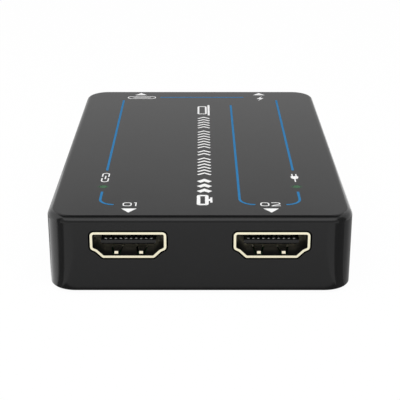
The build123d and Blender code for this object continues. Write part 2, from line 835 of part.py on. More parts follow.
def main():
    """Builds every piece and writes it."""
    os.makedirs("parts", exist_ok=True)
    memory = legged_chip(memory_length, memory_width, memory_height, memory_legs, memory_pitch, leg_reach, 2)
    regulator = legged_chip(regulator_length, regulator_width, regulator_height, regulator_legs,
                            regulator_pitch, regulator_reach, 2)
    splitter = legged_chip(splitter_size, splitter_size, splitter_height, splitter_legs,
                           splitter_pitch, leg_reach, 4)
    controller = flat_chip(controller_size, controller_size, flat_chip_height)
    power = flat_chip(power_chip_size, power_chip_size, flat_chip_height)
    nodes = {
        "housing": housing(),
        "bottom_cover": bottom_cover(),
        "cover_screws": cover_screws(),
        "rubber_feet": rubber_feet(),
        "circuit_board": circuit_board(),
        "board_screws": board_screws(),
        "capture_chip": capture_chip(),
        "thermal_pad": thermal_pad(),
        "heat_sink": heat_sink(),
        "splitter_chip": Pos(0, splitter_y, 0) * splitter,
        "port_controller_chip": Pos(-port_offset, controller_y, 0) * controller,
        "power_chip": Pos(port_offset, power_chip_y, 0) * power,
        "memory_chip": Pos(memory_x, memory_y, 0) * memory,
        "regulator_chips": [place * regulator for place in supply_places(regulator_y)],
        "power_inductors": [place * inductor() for place in supply_places(inductor_y)],
        "can_capacitors": can_capacitors(),
        "crystals": [Pos(-crystal_x, splitter_y, 0) * crystal(), Pos(crystal_x, splitter_y, 0) * crystal()],
        "ceramic_capacitors": ceramic_capacitors(),
        "chip_resistors": chip_resistors(),
        "surge_arrays": surge_arrays(),
    }
    for name, side in (("video_in", -1), ("video_out", 1)):
        nodes[f"{name}_shell"] = at_front(video_shell(), side)
        nodes[f"{name}_tongue"] = at_front(video_tongue(), side)
        nodes[f"{name}_contacts"] = [at_front(contact, side) for contact in video_contacts()]
    for name, side in (("data_port", -1), ("power_port", 1)):
        nodes[f"{name}_shell"] = at_back(port_shell(), side)
        nodes[f"{name}_tongue"] = at_back(port_tongue(), side)
        nodes[f"{name}_contacts"] = [at_back(contact, side) for contact in port_contacts()]
    for name, side in (("link", -1), ("power", 1)):
        nodes[f"{name}_light_pipe"] = Pos(side * lamp_x, lamp_y, 0) * light_pipe()
        nodes[f"{name}_lamp"] = Pos(side * lamp_x, lamp_y, 0) * lamp()
    for name, shape in nodes.items():
        write_node(name, shape)


main()
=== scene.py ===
"""Finishes, printed marks and studio of a pocket video converter.

The converter is a flat black case with two video sockets in front, a data port and a power port behind, two
light windows in its top face and a board of chips inside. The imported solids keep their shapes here: this
script dresses them, prints the marks on the case and on the board, and stands the whole on a pale floor.

Lengths are in metres. x runs across the front, y from the front to the back and z up from the table.
"""

import logging
import math
from collections.abc import Iterable, Sequence
from dataclasses import dataclass
from enum import Enum, IntEnum

import bmesh
import bpy
from mathutils import Matrix, Vector


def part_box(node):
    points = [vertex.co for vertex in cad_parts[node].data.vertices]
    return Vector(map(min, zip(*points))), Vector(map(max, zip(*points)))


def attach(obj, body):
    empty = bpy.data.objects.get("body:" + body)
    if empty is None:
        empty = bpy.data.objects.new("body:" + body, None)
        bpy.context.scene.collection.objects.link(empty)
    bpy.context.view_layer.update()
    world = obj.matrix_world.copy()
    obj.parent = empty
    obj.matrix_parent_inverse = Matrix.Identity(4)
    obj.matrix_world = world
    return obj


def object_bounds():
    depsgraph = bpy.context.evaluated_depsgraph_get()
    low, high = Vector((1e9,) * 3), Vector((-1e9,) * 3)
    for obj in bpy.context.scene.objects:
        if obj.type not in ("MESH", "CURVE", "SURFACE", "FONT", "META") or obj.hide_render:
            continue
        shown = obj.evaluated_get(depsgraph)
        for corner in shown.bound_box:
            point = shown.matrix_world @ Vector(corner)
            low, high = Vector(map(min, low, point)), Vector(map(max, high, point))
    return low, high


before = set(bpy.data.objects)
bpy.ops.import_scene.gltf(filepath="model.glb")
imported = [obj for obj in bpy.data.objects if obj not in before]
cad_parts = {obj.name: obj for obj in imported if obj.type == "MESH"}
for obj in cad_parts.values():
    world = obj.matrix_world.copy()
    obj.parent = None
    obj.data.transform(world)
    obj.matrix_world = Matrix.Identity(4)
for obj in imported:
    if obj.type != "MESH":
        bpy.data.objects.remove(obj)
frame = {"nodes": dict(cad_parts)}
cad_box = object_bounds()

log = logging.getLogger("converter")

Colour = tuple[float, float, float]
Point = tuple[float, float]
Place = tuple[float, float, float]
Socket = bpy.types.NodeSocket
Feed = float | Sequence[float] | Socket

MM = 0.001
MICRON = 0.000001
ROOT = "root"

WHITE: Colour = (1.0, 1.0, 1.0)

# How far a change reaches where two materials meet sharply or plainly, or where painted shade ends softly.
CRISP_EDGE = 5 * MICRON
PLAIN_EDGE = 0.02 * MM
PAINTED_SHADE_EDGE = 0.05 * MM

# How strongly the finer layers of random spots show.
SPOT_BLEND = 0.55

# The largest angle between two points of a small arc, in degrees.
COARSE_STEP = 15.0


class Side(IntEnum):
    """A side of the case, as the factor that gives it its x."""

    LEFT = -1
    RIGHT = 1

    @property
    def word(self) -> str:
        """The side's name in the names of pieces."""
        return self.name.lower()


def tone(red: float, green: float, blue: float) -> Colour:
    """Turns a screen colour, with parts from 0 to 255, into shares of full light."""
    return tuple(_light(part / 255) for part in (red, green, blue))


def _light(part: float) -> float:
    """Turns one part of a screen colour, from 0 to 1, into light."""
    return part / 12.92 if part <= 0.04045 else ((part + 0.055) / 1.055) ** 2.4


def middle(node: str) -> Vector:
    """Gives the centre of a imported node's box."""
    low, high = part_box(node)
    return (low + high) / 2


def put_in_scene(name: str, data: bpy.types.ID) -> bpy.types.Object:
    """Adds an object to the scene.

    Args:
        name: Its name.
        data: What it shows, such as a mesh.

    Returns:
        The object.
    """
    thing = bpy.data.objects.new(name, data)
    bpy.context.scene.collection.objects.link(thing)
    return thing


class Recipe:
    """A material in the making: one surface shader and the nodes that feed it."""

    def __init__(self, name: str) -> None:
        """Starts an empty material that can read places on the object.

        Args:
            name: The material's name.
        """
        self.material = bpy.data.materials.new(name)
        self.material.use_nodes = True
        self.tree = self.material.node_tree
        self.tree.nodes.clear()
        self.place = self.tree.nodes.new("ShaderNodeTexCoord").outputs["Object"]
        split = self.add("ShaderNodeSeparateXYZ", {"Vector": self.place})
        self.x, self.y, self.z = (split.outputs[axis] for axis in "XYZ")

    def add(self, kind: str, inputs: dict[str | int, Feed], **settings: object) -> bpy.types.Node:
        """Adds a node.

        Args:
            kind: Blender's name of the node's type.
            inputs: What goes into each socket, by the socket's name or number.
            **settings: The node's own options.

        Returns:
            The new node.
        """
        node = self.tree.nodes.new(kind)
        for option, value in settings.items():
            setattr(node, option, value)
        for socket, value in inputs.items():
            self.feed(node.inputs[socket], value)
        return node

    def feed(self, socket: Socket, value: Feed) -> None:
        """Links a socket to another node's output, or sets its value.

        Args:
            socket: The socket.
            value: The output to link, or the value to set.
        """
        if isinstance(value, Socket):
            self.tree.links.new(value, socket)
        elif isinstance(value, Sequence) and socket.type == "RGBA":
            socket.default_value = (*value, 1.0)
        else:
            socket.default_value = value

    def maths(self, operation: str, *values: Feed) -> Socket:
        """Works out one number from others with a maths node."""
        return self.add("ShaderNodeMath", dict(enumerate(values)), operation=operation).outputs[0]

    def stretched(self, x: float, y: float, z: float) -> Socket:
        """Gives the place on the object with each axis multiplied by a number of its own."""
        turned = self.add("ShaderNodeVectorMath", {0: self.place, 1: (x, y, z)}, operation="MULTIPLY")
        return turned.outputs[0]

    def noise(self, size: float, detail: float = 3.0, place: Feed | None = None) -> Socket:
        """Adds soft random spots of one size, with finer layers, as a number from 0 to 1."""
        layers = {"Scale": 1 / size, "Detail": detail, "Roughness": SPOT_BLEND}
        return self.add("ShaderNodeTexNoise", {"Vector": place or self.place, **layers}).outputs["Fac"]

    def cells(self, size: float, edges: bool = False, place: Feed | None = None) -> Socket:
        """Adds scattered cells and gives the distance to each cell's middle or to its edge.

        Args:
            size: The width of a cell.
            edges: Whether the distance is to the cell's edge.
            place: Where the cells are read, which is the place on the object by default.

        Returns:
            The distance, as a share of the width.
        """
        feature = "DISTANCE_TO_EDGE" if edges else "F1"
        inputs = {"Vector": place or self.place, "Scale": 1 / size}
        return self.add("ShaderNodeTexVoronoi", inputs, feature=feature).outputs["Distance"]

    def ramp(self, value: Feed, start: float, end: float, low: float = 0.0, high: float = 1.0,
             soft: bool = True) -> Socket:
        """Maps a number from one span to another and holds it at the ends.

        Args:
            value: The number to map.
            start: Where the first span starts.
            end: Where the first span ends, which may lie below its start.
            low: What start becomes.
            high: What end becomes.
            soft: Whether the way between the two eases in and out.

        Returns:
            The mapped number.
        """
        inputs = {"Value": value, "From Min": start, "From Max": end, "To Min": low, "To Max": high}
        kind = "SMOOTHSTEP" if soft else "LINEAR"
        return self.add("ShaderNodeMapRange", inputs, interpolation_type=kind).outputs["Result"]

    def within(self, value: Feed, centre: float, half: float, edge: float) -> Socket:
        """Gives 1 where a number is within half a span of a centre, and 0 past an edge beyond."""
        away = self.maths("ABSOLUTE", self.maths("SUBTRACT", value, centre))
        return self.ramp(away, half, half + edge, 1.0, 0.0)

    def joined(self, operation: str, masks: Sequence[Feed]) -> Socket:
        """Works out one mask from several, two at a time.

        Args:
            operation: The maths node's operation.
            masks: Numbers from 0 to 1.

        Returns:
            The result.
        """
        result = masks[0]
        for mask in masks[1:]:
            result = self.maths(operation, result, mask)
        return result

    def both(self, *masks: Feed) -> Socket:
        """Multiplies masks, so that the result is 1 where all of them are."""
        return self.joined("MULTIPLY", masks)

    def either(self, *masks: Feed) -> Socket:
        """Takes the largest of masks, so that the result is 1 where one of them is."""
        return self.joined("MAXIMUM", masks)

    def blend(self, share: Feed, first: Feed, second: Feed) -> Socket:
        """Mixes two colours.

        Args:
            share: How much of the second colour shows, from 0 to 1.
            first: The colour at 0.
            second: The colour at 1.

        Returns:
            The mixed colour.
        """
        node = self.add("ShaderNodeMix", {}, data_type="RGBA")
        colours = [socket for socket in node.inputs if socket.type == "RGBA"]
        self.feed(node.inputs["Factor"], share)
        self.feed(colours[0], first)
        self.feed(colours[1], second)
        return next(socket for socket in node.outputs if socket.type == "RGBA")

    def bump(self, height: Feed, depth: float) -> Socket:
        """Bends the normal as if the surface stood up by a depth where a height is 1."""
        return self.add("ShaderNodeBump", {"Height": height, "Distance": depth}).outputs["Normal"]

    def surface(self, **inputs: Feed) -> None:
        """Ends the recipe with a plain surface shader.

        Args:
            **inputs: What goes into its sockets, whose names have underscores here for spaces.
        """
        named = {name.replace("_", " "): value for name, value in inputs.items()}
        shader = self.add("ShaderNodeBsdfPrincipled", named)
        self.end(shader.outputs["BSDF"])

    def end(self, shader: Socket) -> None:
        """Links the last shader to the material's output."""
        self.add("ShaderNodeOutputMaterial", {"Surface": shader})


MADE: dict["Finish", bpy.types.Material] = {}


def scaled(colour: Colour, share: float) -> Colour:
    """Gives a colour that is lighter or darker by one factor."""
    return tuple(min(part * share, 1.0) for part in colour)


def around(value: float, share: float) -> Point:
    """Gives the numbers that are this share below and above a value."""
    return value * (1 - share), value * (1 + share)


@dataclass(frozen=True)
class Finish:
    """What all finishes have: a name, a colour, a gloss and a fine relief.

    Args:
        name: The material's name.
        colour: The main colour, as light.
        roughness: From 0, a mirror, to 1, chalk.
        index: The refractive index.
        grain: The width of the finest relief.
        depth: How far that relief stands up.
    """

    name: str
    colour: Colour
    roughness: float
    index: float = 1.5
    grain: float = 0.1 * MM
    depth: float = 2 * MICRON

    def dress(self, recipe: Recipe) -> None:
        """Adds the finish's nodes to a recipe."""
        raise NotImplementedError

    def material(self) -> bpy.types.Material:
        """Gives the finish's material, which is made when it is first asked for.

        Returns:
            The material.
        """
        if self not in MADE:
            recipe = Recipe(self.name)
            self.dress(recipe)
            MADE[self] = recipe.material
        return MADE[self]

    def put_on(self, *nodes: str) -> None:
        """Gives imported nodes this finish.

        Args:
            *nodes: The nodes' names.
        """
        for node in nodes:
            for slot in frame["nodes"][node].material_slots:
                slot.material = self.material()
            log.info("%s is finished in %s", node, self.name)


@dataclass(frozen=True)
class MouldedPlastic(Finish):
    """Plastic from an eroded mould: a fine grain, cloudy colour and slightly uneven gloss.

    Args:
        cloud: The width of the soft spots in colour and gloss.
        uneven: How far colour and gloss vary, as a share.
    """

    index: float = 1.45
    grain: float = 0.11 * MM
    depth: float = 1.2 * MICRON
    cloud: float = 14 * MM
    uneven: float = 0.12

    def tinted(self, recipe: Recipe) -> Socket:
        """Gives the colour, cloudy by the plastic's uneven share.

        Args:
            recipe: It takes the nodes.

        Returns:
            The colour.
        """
        spots = recipe.noise(self.cloud, 4)
        dark, pale = scaled(self.colour, 1 - self.uneven), scaled(self.colour, 1 + self.uneven)
        return recipe.blend(spots, dark, pale)

    def gloss(self, recipe: Recipe) -> Socket:
        """Gives the roughness, changed by wide smears and by the grain."""
        smears = recipe.maths("ADD", recipe.noise(self.cloud / 2, 5), recipe.noise(self.grain * 4, 2))
        return recipe.ramp(smears, 0.6, 1.4, *around(self.roughness, self.uneven))

    def dress(self, recipe: Recipe) -> None:
        """Adds the grain, the clouds and the uneven gloss.

        Args:
            recipe: It takes the nodes.
        """
        recipe.surface(
            Base_Color=self.tinted(recipe),
            Roughness=self.gloss(recipe),
            IOR=self.index,
            Normal=recipe.bump(recipe.noise(self.grain, 2), self.depth),
        )


@dataclass(frozen=True)
class LitPlastic(MouldedPlastic):
    """The housing's plastic, with the lamps' glow painted into its colour round the light windows.

    Args:
        glow: The colour of the lamps' glow, painted into the plastic.
        window_x: How far each window is from the middle line.
        window_y: Where the windows are along the case.
        reach: How far the colour spreads, across and along the case.
        core: The square of the share of that reach over which the colour is full.
        top: The height of the top face.
        skin: How far below the top face the colour starts, and where it is full.
    """

    glow: Colour = (0.0, 0.05, 0.01)
    window_x: float = 20 * MM
    window_y: float = -28 * MM
    reach: Point = (1.5 * MM, 1.0 * MM)
    core: float = 0.15
    top: float = 16 * MM
    skin: Point = (0.2 * MM, 0.1 * MM)

    def tinted(self, recipe: Recipe) -> Socket:
        """Gives the plastic's colour with the lamps' glow painted in at each window.

        Args:
            recipe: It takes the nodes.

        Returns:
            The colour.
        """
        across = recipe.maths("SUBTRACT", recipe.maths("ABSOLUTE", recipe.x), self.window_x)
        along = recipe.maths("SUBTRACT", recipe.y, self.window_y)
        ring = [recipe.maths("POWER", recipe.maths("DIVIDE", side, reach), 2)
                for side, reach in zip((across, along), self.reach)]
        # Painted glow: the lamps' light is painted into the plastic's colour round each window, on the top
        # face.
        painted_glow = recipe.ramp(recipe.maths("ADD", *ring), self.core, 1.0, 1.0, 0.0)
        start, full = (self.top - depth for depth in self.skin)
        on_top = recipe.ramp(recipe.z, start, full)
        return recipe.blend(recipe.both(painted_glow, on_top), super().tinted(recipe), self.glow)


@dataclass(frozen=True)
class Rubber(Finish):
    """Soft black rubber with a dusty, pitted skin.

    Args:
        dusty: The width of a dusty place.
        dust: The colour of the dust in the pits.
        dust_roughness: The dust's roughness.
    """

    grain: float = 0.25 * MM
    depth: float = 8 * MICRON
    dusty: float = 3 * MM
    dust: Colour = (0.09, 0.088, 0.084)
    dust_roughness: float = 0.98

    def dress(self, recipe: Recipe) -> None:
        """Adds pits with dust in them.

        Args:
            recipe: It takes the nodes.
        """
        pits = recipe.ramp(recipe.cells(self.grain), 0.1, 0.6)
        holes = recipe.ramp(pits, 0.4, 0.0)
        dusty = recipe.both(holes, recipe.ramp(recipe.noise(self.dusty, 3), 0.45, 0.7))
        recipe.surface(
            Base_Color=recipe.blend(dusty, self.colour, self.dust),
            Roughness=recipe.ramp(dusty, 0, 1, self.roughness, self.dust_roughness),
            IOR=self.index,
            Normal=recipe.bump(pits, self.depth),
        )


@dataclass(frozen=True)
class SheetMetal(Finish):
    """Rolled or plated metal with fine lines along one axis.

    Args:
        line: The width of a line.
        stretch: How much longer than wide the lines are, along y.
        tarnish: The colour of the duller spots.
        spot: The width of a duller spot.
        uneven: How far the roughness varies from line to line, as a share.
    """

    line: float = 0.03 * MM
    stretch: float = 25.0
    tarnish: Colour = (0.5, 0.45, 0.36)
    spot: float = 2.5 * MM
    uneven: float = 0.2
    depth: float = 0.4 * MICRON

    def plated(self, recipe: Recipe) -> Socket:
        """Gives the colour with duller spots."""
        dull = recipe.ramp(recipe.noise(self.spot, 4), 0.5, 0.8, 0.0, 0.5)
        return recipe.blend(dull, self.colour, self.tarnish)

    def lines(self, recipe: Recipe) -> Socket:
        """Gives the lines' height."""
        return recipe.noise(self.line, 2, recipe.stretched(1, 1 / self.stretch, 1))

    def dress(self, recipe: Recipe) -> None:
        """Adds the lines and the tarnish.

        Args:
            recipe: It takes the nodes.
        """
        lines = self.lines(recipe)
        recipe.surface(
            Base_Color=self.plated(recipe),
            Metallic=1.0,
            Roughness=recipe.ramp(lines, 0.3, 0.7, *around(self.roughness, self.uneven)),
            Normal=recipe.bump(lines, self.depth),
        )


@dataclass(frozen=True)
class ContactMetal(SheetMetal):
    """Contacts with polished tips and painted shade on the strips behind and beside them.

    Args:
        tips: Where the polished tips end along y.
        first: The x of one of the upper contacts.
        pitch: How far apart the upper contacts are.
        half: Half the width of the polished part of a tip.
        dull: The painted shade on the strips.
    """

    tips: float = -43 * MM
    first: float = 0.0
    pitch: float = 1.0 * MM
    half: float = 0.15 * MM
    dull: Colour = (0.1, 0.097, 0.09)

    def plated(self, recipe: Recipe) -> Socket:
        """Gives the tips' colour, and the painted shade on the strips behind and beside them.

        Args:
            recipe: It takes the nodes.

        Returns:
            The colour.
        """
        behind = recipe.ramp(recipe.y, self.tips, self.tips + PAINTED_SHADE_EDGE)
        away = recipe.maths("PINGPONG", recipe.maths("SUBTRACT", recipe.x, self.first), self.pitch / 2)
        beside = recipe.ramp(away, self.half, self.half + PAINTED_SHADE_EDGE)
        # Painted shade: all of each contact but a narrow tip is painted dark.
        return recipe.blend(recipe.either(behind, beside), super().plated(recipe), self.dull)


@dataclass(frozen=True)
class SocketPlating(SheetMetal):
    """Plating that is bright on a socket's lip and spring fingers, with painted shade and light deeper in.

    Args:
        mouth: Where the lip starts along y.
        lip: How deep the bright lip is.
        inside: The painted shade of the sheet just behind the lip.
        deep_inside: The sheet's colour at the far end, painted lighter where little light reaches.
        depth_of_dark: How far in it has that colour.
        late: How late it turns to that colour on its way in, as a power of the way.
        shaded_metallic: How metallic the sheet under the painted shade still is, where 1 is bare metal.
        shaded_roughness: The roughness of the sheet under the painted shade.
        sockets: The x of each socket's middle.
        ramp_colour: The colour of the fingers' ramps, which are left out of the painted shade.
        fingers: How far a finger is from a socket's middle.
        finger: Half the width of a finger's bright tip.
        ramps: How deep the fingers' bright ramps start and end.
    """

    mouth: float = -45 * MM
    lip: float = 0.03 * MM
    inside: Colour = (0.0016, 0.0015, 0.001)
    deep_inside: Colour = (0.82, 0.77, 0.6)
    depth_of_dark: float = 5.5 * MM
    late: float = 4.0
    shaded_metallic: float = 0.2
    shaded_roughness: float = 0.6
    sockets: tuple[float, ...] = ()
    ramp_colour: Colour = (0.42, 0.385, 0.295)
    fingers: float = 2.45 * MM
    finger: float = 0.33 * MM
    ramps: Point = (0.94 * MM, 1.29 * MM)

    def ramp_mask(self, recipe: Recipe) -> Socket:
        """Gives 1 on the fingers' ramps.

        Args:
            recipe: It takes the nodes.

        Returns:
            A number from 0 to 1.
        """
        start, end = (self.mouth + ramp for ramp in self.ramps)
        along = recipe.within(recipe.y, (start + end) / 2, (end - start) / 2, PAINTED_SHADE_EDGE)
        tips = []
        for centre in self.sockets:
            away = recipe.maths("ABSOLUTE", recipe.maths("SUBTRACT", recipe.x, centre))
            tips.append(recipe.within(away, self.fingers, self.finger, PAINTED_SHADE_EDGE))
        return recipe.both(along, recipe.either(*tips))

    def dress(self, recipe: Recipe) -> None:
        """Adds the lines, the tarnish, the fingers' ramps and the painted shade and light inside.

        Args:
            recipe: It takes the nodes.
        """
        ramps = self.ramp_mask(recipe)
        lip_end = self.mouth + self.lip
        behind = recipe.ramp(recipe.y, lip_end, lip_end + PLAIN_EDGE)
        # Painted shade: the sheet behind the lip, all but the fingers' ramps, is painted dark near the
        # mouth and lighter further in.
        deep = recipe.both(behind, recipe.maths("SUBTRACT", 1.0, ramps))
        lines = self.lines(recipe)
        way_in = recipe.ramp(recipe.y, lip_end, self.mouth + self.depth_of_dark, soft=False)
        painted_shade = recipe.blend(recipe.maths("POWER", way_in, self.late), self.inside, self.deep_inside)
        bright = recipe.blend(ramps, self.plated(recipe), self.ramp_colour)
        duller = recipe.maths("ADD", deep, lines)
        smooth = self.roughness * (1 - self.uneven)
        recipe.surface(
            Base_Color=recipe.blend(deep, bright, painted_shade),
            Metallic=recipe.ramp(deep, 0, 1, 1.0, self.shaded_metallic),
            Roughness=recipe.ramp(duller, 0.3, 1.7, smooth, self.shaded_roughness),
            Normal=recipe.bump(lines, self.depth),
        )


@dataclass(frozen=True)
class Insulator(Finish):
    """Glass-filled black plastic with flow lines along y.

    Args:
        squeeze: How little the flow lines change along y, as a share of their change across.
        uneven: How far the roughness varies from line to line, as a share.
        fibre: The colour of the fibres near the skin.
        block: The y at which the block behind the tongue starts, which is painted lighter.
        fading: How far before that y the block's colour comes in.
        painted_block_light: The painted light on the block, a lighter colour than the plastic's.
    """

    grain: float = 0.12 * MM
    squeeze: float = 0.12
    depth: float = 1.5 * MICRON
    uneven: float = 0.15
    fibre: Colour = (0.05, 0.05, 0.047)
    block: float = 1.0
    fading: float = 0.3 * MM
    painted_block_light: Colour = (0.12, 0.12, 0.115)

    def dress(self, recipe: Recipe) -> None:
        """Adds the flow lines and pale fibres, and the painted light on the block behind.

        Args:
            recipe: It takes the nodes.
        """
        flow = recipe.noise(self.grain, 4, recipe.stretched(1, self.squeeze, 1))
        behind = recipe.ramp(recipe.y, self.block - self.fading, self.block)
        moulded = recipe.blend(recipe.ramp(flow, 0.55, 0.8), self.colour, self.fibre)
        recipe.surface(
            # Painted light: the block behind the tongue is painted a lighter colour than the black plastic.
            Base_Color=recipe.blend(behind, moulded, self.painted_block_light),
            Roughness=recipe.ramp(flow, 0.3, 0.7, *around(self.roughness, self.uneven)),
            IOR=self.index,
            Normal=recipe.bump(flow, self.depth),
        )


@dataclass(frozen=True)
class ClearPlastic(Finish):
    """A clear rod with a frosted end, whose colour is the lamp's glow painted in.

    Args:
        top: The height of the rod's upper end.
        frost: How far down from there the frosting fades out.
        rod: The colour of the clear rod.
        polish: The clear rod's roughness.
        clearness: How much light the clear rod and the frosted end let through.
    """

    index: float = 1.58
    top: float = 16 * MM
    frost: float = 0.3 * MM
    rod: Colour = (0.7, 0.78, 0.72)
    polish: float = 0.08
    clearness: Point = (0.9, 0.1)
    grain: float = 0.4 * MM

    def dress(self, recipe: Recipe) -> None:
        """Adds the frosted end with the lamp's painted glow, and faint moulding waves.

        Args:
            recipe: It takes the nodes.
        """
        frosted = recipe.ramp(recipe.z, self.top - self.frost, self.top)
        waves = recipe.noise(self.grain, 3)
        rough = recipe.maths("ADD", frosted, waves)
        recipe.surface(
            # Painted glow: the frosted end takes the lamp's green light as its colour.
            Base_Color=recipe.blend(frosted, self.rod, self.colour),
            Roughness=recipe.ramp(rough, 0.3, 1.4, self.polish, self.roughness),
            IOR=self.index,
            Transmission_Weight=recipe.ramp(frosted, 0, 1, *self.clearness),
            Normal=recipe.bump(waves, self.depth),
        )


@dataclass(frozen=True)
class Layered(Finish):
    """A small part of two materials, one above the other, parted at a height.

    Args:
        upper: The colour above that height.
        split: The height.
        metal_below: Whether the lower material is metal.
        metal_above: Whether the upper material is metal.
        shine: The upper material's roughness.
    """

    upper: Colour = (0.7, 0.7, 0.7)
    split: float = 8 * MM
    metal_below: bool = False
    metal_above: bool = True
    shine: float = 0.3
    grain: float = 0.08 * MM

    def above(self, recipe: Recipe) -> Socket:
        """Gives 1 above the height that parts the two materials."""
        return recipe.ramp(recipe.z, self.split - CRISP_EDGE, self.split + CRISP_EDGE)

    def dress(self, recipe: Recipe) -> None:
        """Adds both materials with a speckled grain over them.

        Args:
            recipe: It takes the nodes.
        """
        above = self.above(recipe)
        grain = recipe.noise(self.grain, 3)
        low = recipe.blend(grain, scaled(self.colour, 0.8), scaled(self.colour, 1.2))
        high = recipe.blend(grain, scaled(self.upper, 0.85), scaled(self.upper, 1.1))
        below, over = float(self.metal_below), float(self.metal_above)
        recipe.surface(
            Base_Color=recipe.blend(above, low, high),
            Metallic=recipe.ramp(above, 0, 1, below, over),
            Roughness=recipe.ramp(above, 0, 1, self.roughness, self.shine),
            Normal=recipe.bump(grain, self.depth),
        )


@dataclass(frozen=True)
class CanMetal(Layered):
    """Round capacitors: a plastic base, a drawn can and a dark field on one side of the lid.

    Args:
        cans: The middle of each can.
        lid: The height from which a can counts as its lid.
        dark: The colour of the dark field.
        field_start: How far from a can's middle the field starts, and where it is full.
        field_half: How far from the middle it reaches, across and along the case.
        drawing: The width of the fine lines that drawing leaves on a can.
        upright: How little those lines change upwards, as a share of their change across.
    """

    cans: tuple[Point, ...] = ()
    lid: float = 12 * MM
    dark: Colour = (0.02, 0.02, 0.022)
    field_start: Point = (1.1 * MM, 1.13 * MM)
    field_half: Point = (2.2 * MM, 2.6 * MM)
    drawing: float = 0.05 * MM
    upright: float = 0.05
    depth: float = 1 * MICRON

    def painted(self, recipe: Recipe) -> Socket:
        """Gives 1 on the dark fields.

        Args:
            recipe: It takes the nodes.

        Returns:
            A number from 0 to 1.
        """
        start, full = self.field_start
        across, along = self.field_half
        marked = []
        for x, y in self.cans:
            side = recipe.ramp(recipe.x, x + start, x + full)
            near = recipe.within(recipe.x, x, across, PLAIN_EDGE)
            marked.append(recipe.both(side, near, recipe.within(recipe.y, y, along, PLAIN_EDGE)))
        lid = recipe.ramp(recipe.z, self.lid, self.lid + PLAIN_EDGE)
        return recipe.both(recipe.either(*marked), lid)

    def dress(self, recipe: Recipe) -> None:
        """Adds the base, the brushed can and the field that marks its minus side.

        Args:
            recipe: It takes the nodes.
        """
        painted = self.painted(recipe)
        above = self.above(recipe)
        drawn = recipe.noise(self.drawing, 2, recipe.stretched(1, 1, self.upright))
        metal = recipe.blend(drawn, scaled(self.upper, 0.85), scaled(self.upper, 1.1))
        metallic = recipe.both(above, recipe.ramp(painted, 0, 1, 1.0, 0.0))
        recipe.surface(
            Base_Color=recipe.blend(painted, recipe.blend(above, self.colour, metal), self.dark),
            Metallic=metallic,
            Roughness=recipe.ramp(metallic, 0, 1, self.roughness, self.shine),
            Normal=recipe.bump(drawn, self.depth),
        )


@dataclass(frozen=True)
class ChipPackage(Finish):
    """Moulded black chips with bright legs outside their bodies.

    Args:
        bodies: Each body's middle and half sizes, as (x, y, half x, half y).
        legs: The legs' colour.
        shine: The legs' roughness.
    """

    bodies: tuple[tuple[float, float, float, float], ...] = ()
    legs: Colour = (0.72, 0.71, 0.68)
    shine: float = 0.3
    grain: float = 0.06 * MM
    depth: float = 3 * MICRON

    def dress(self, recipe: Recipe) -> None:
        """Adds the grainy body and the tinned legs.

        Args:
            recipe: It takes the nodes.
        """
        covers = []
        for x, y, half_x, half_y in self.bodies:
            across = recipe.within(recipe.x, x, half_x, CRISP_EDGE)
            covers.append(recipe.both(across, recipe.within(recipe.y, y, half_y, CRISP_EDGE)))
        body = recipe.either(*covers) if covers else 1.0
        grain = recipe.noise(self.grain, 4)
        resin = recipe.blend(grain, scaled(self.colour, 0.75), scaled(self.colour, 1.3))
        recipe.surface(
            Base_Color=recipe.blend(body, self.legs, resin) if covers else resin,
            Metallic=recipe.ramp(body, 0, 1, 1.0, 0.0) if covers else 0.0,
            Roughness=recipe.ramp(recipe.maths("ADD", body, grain), 0.4, 1.6, self.shine, self.roughness),
            Normal=recipe.bump(grain, self.depth),
        )


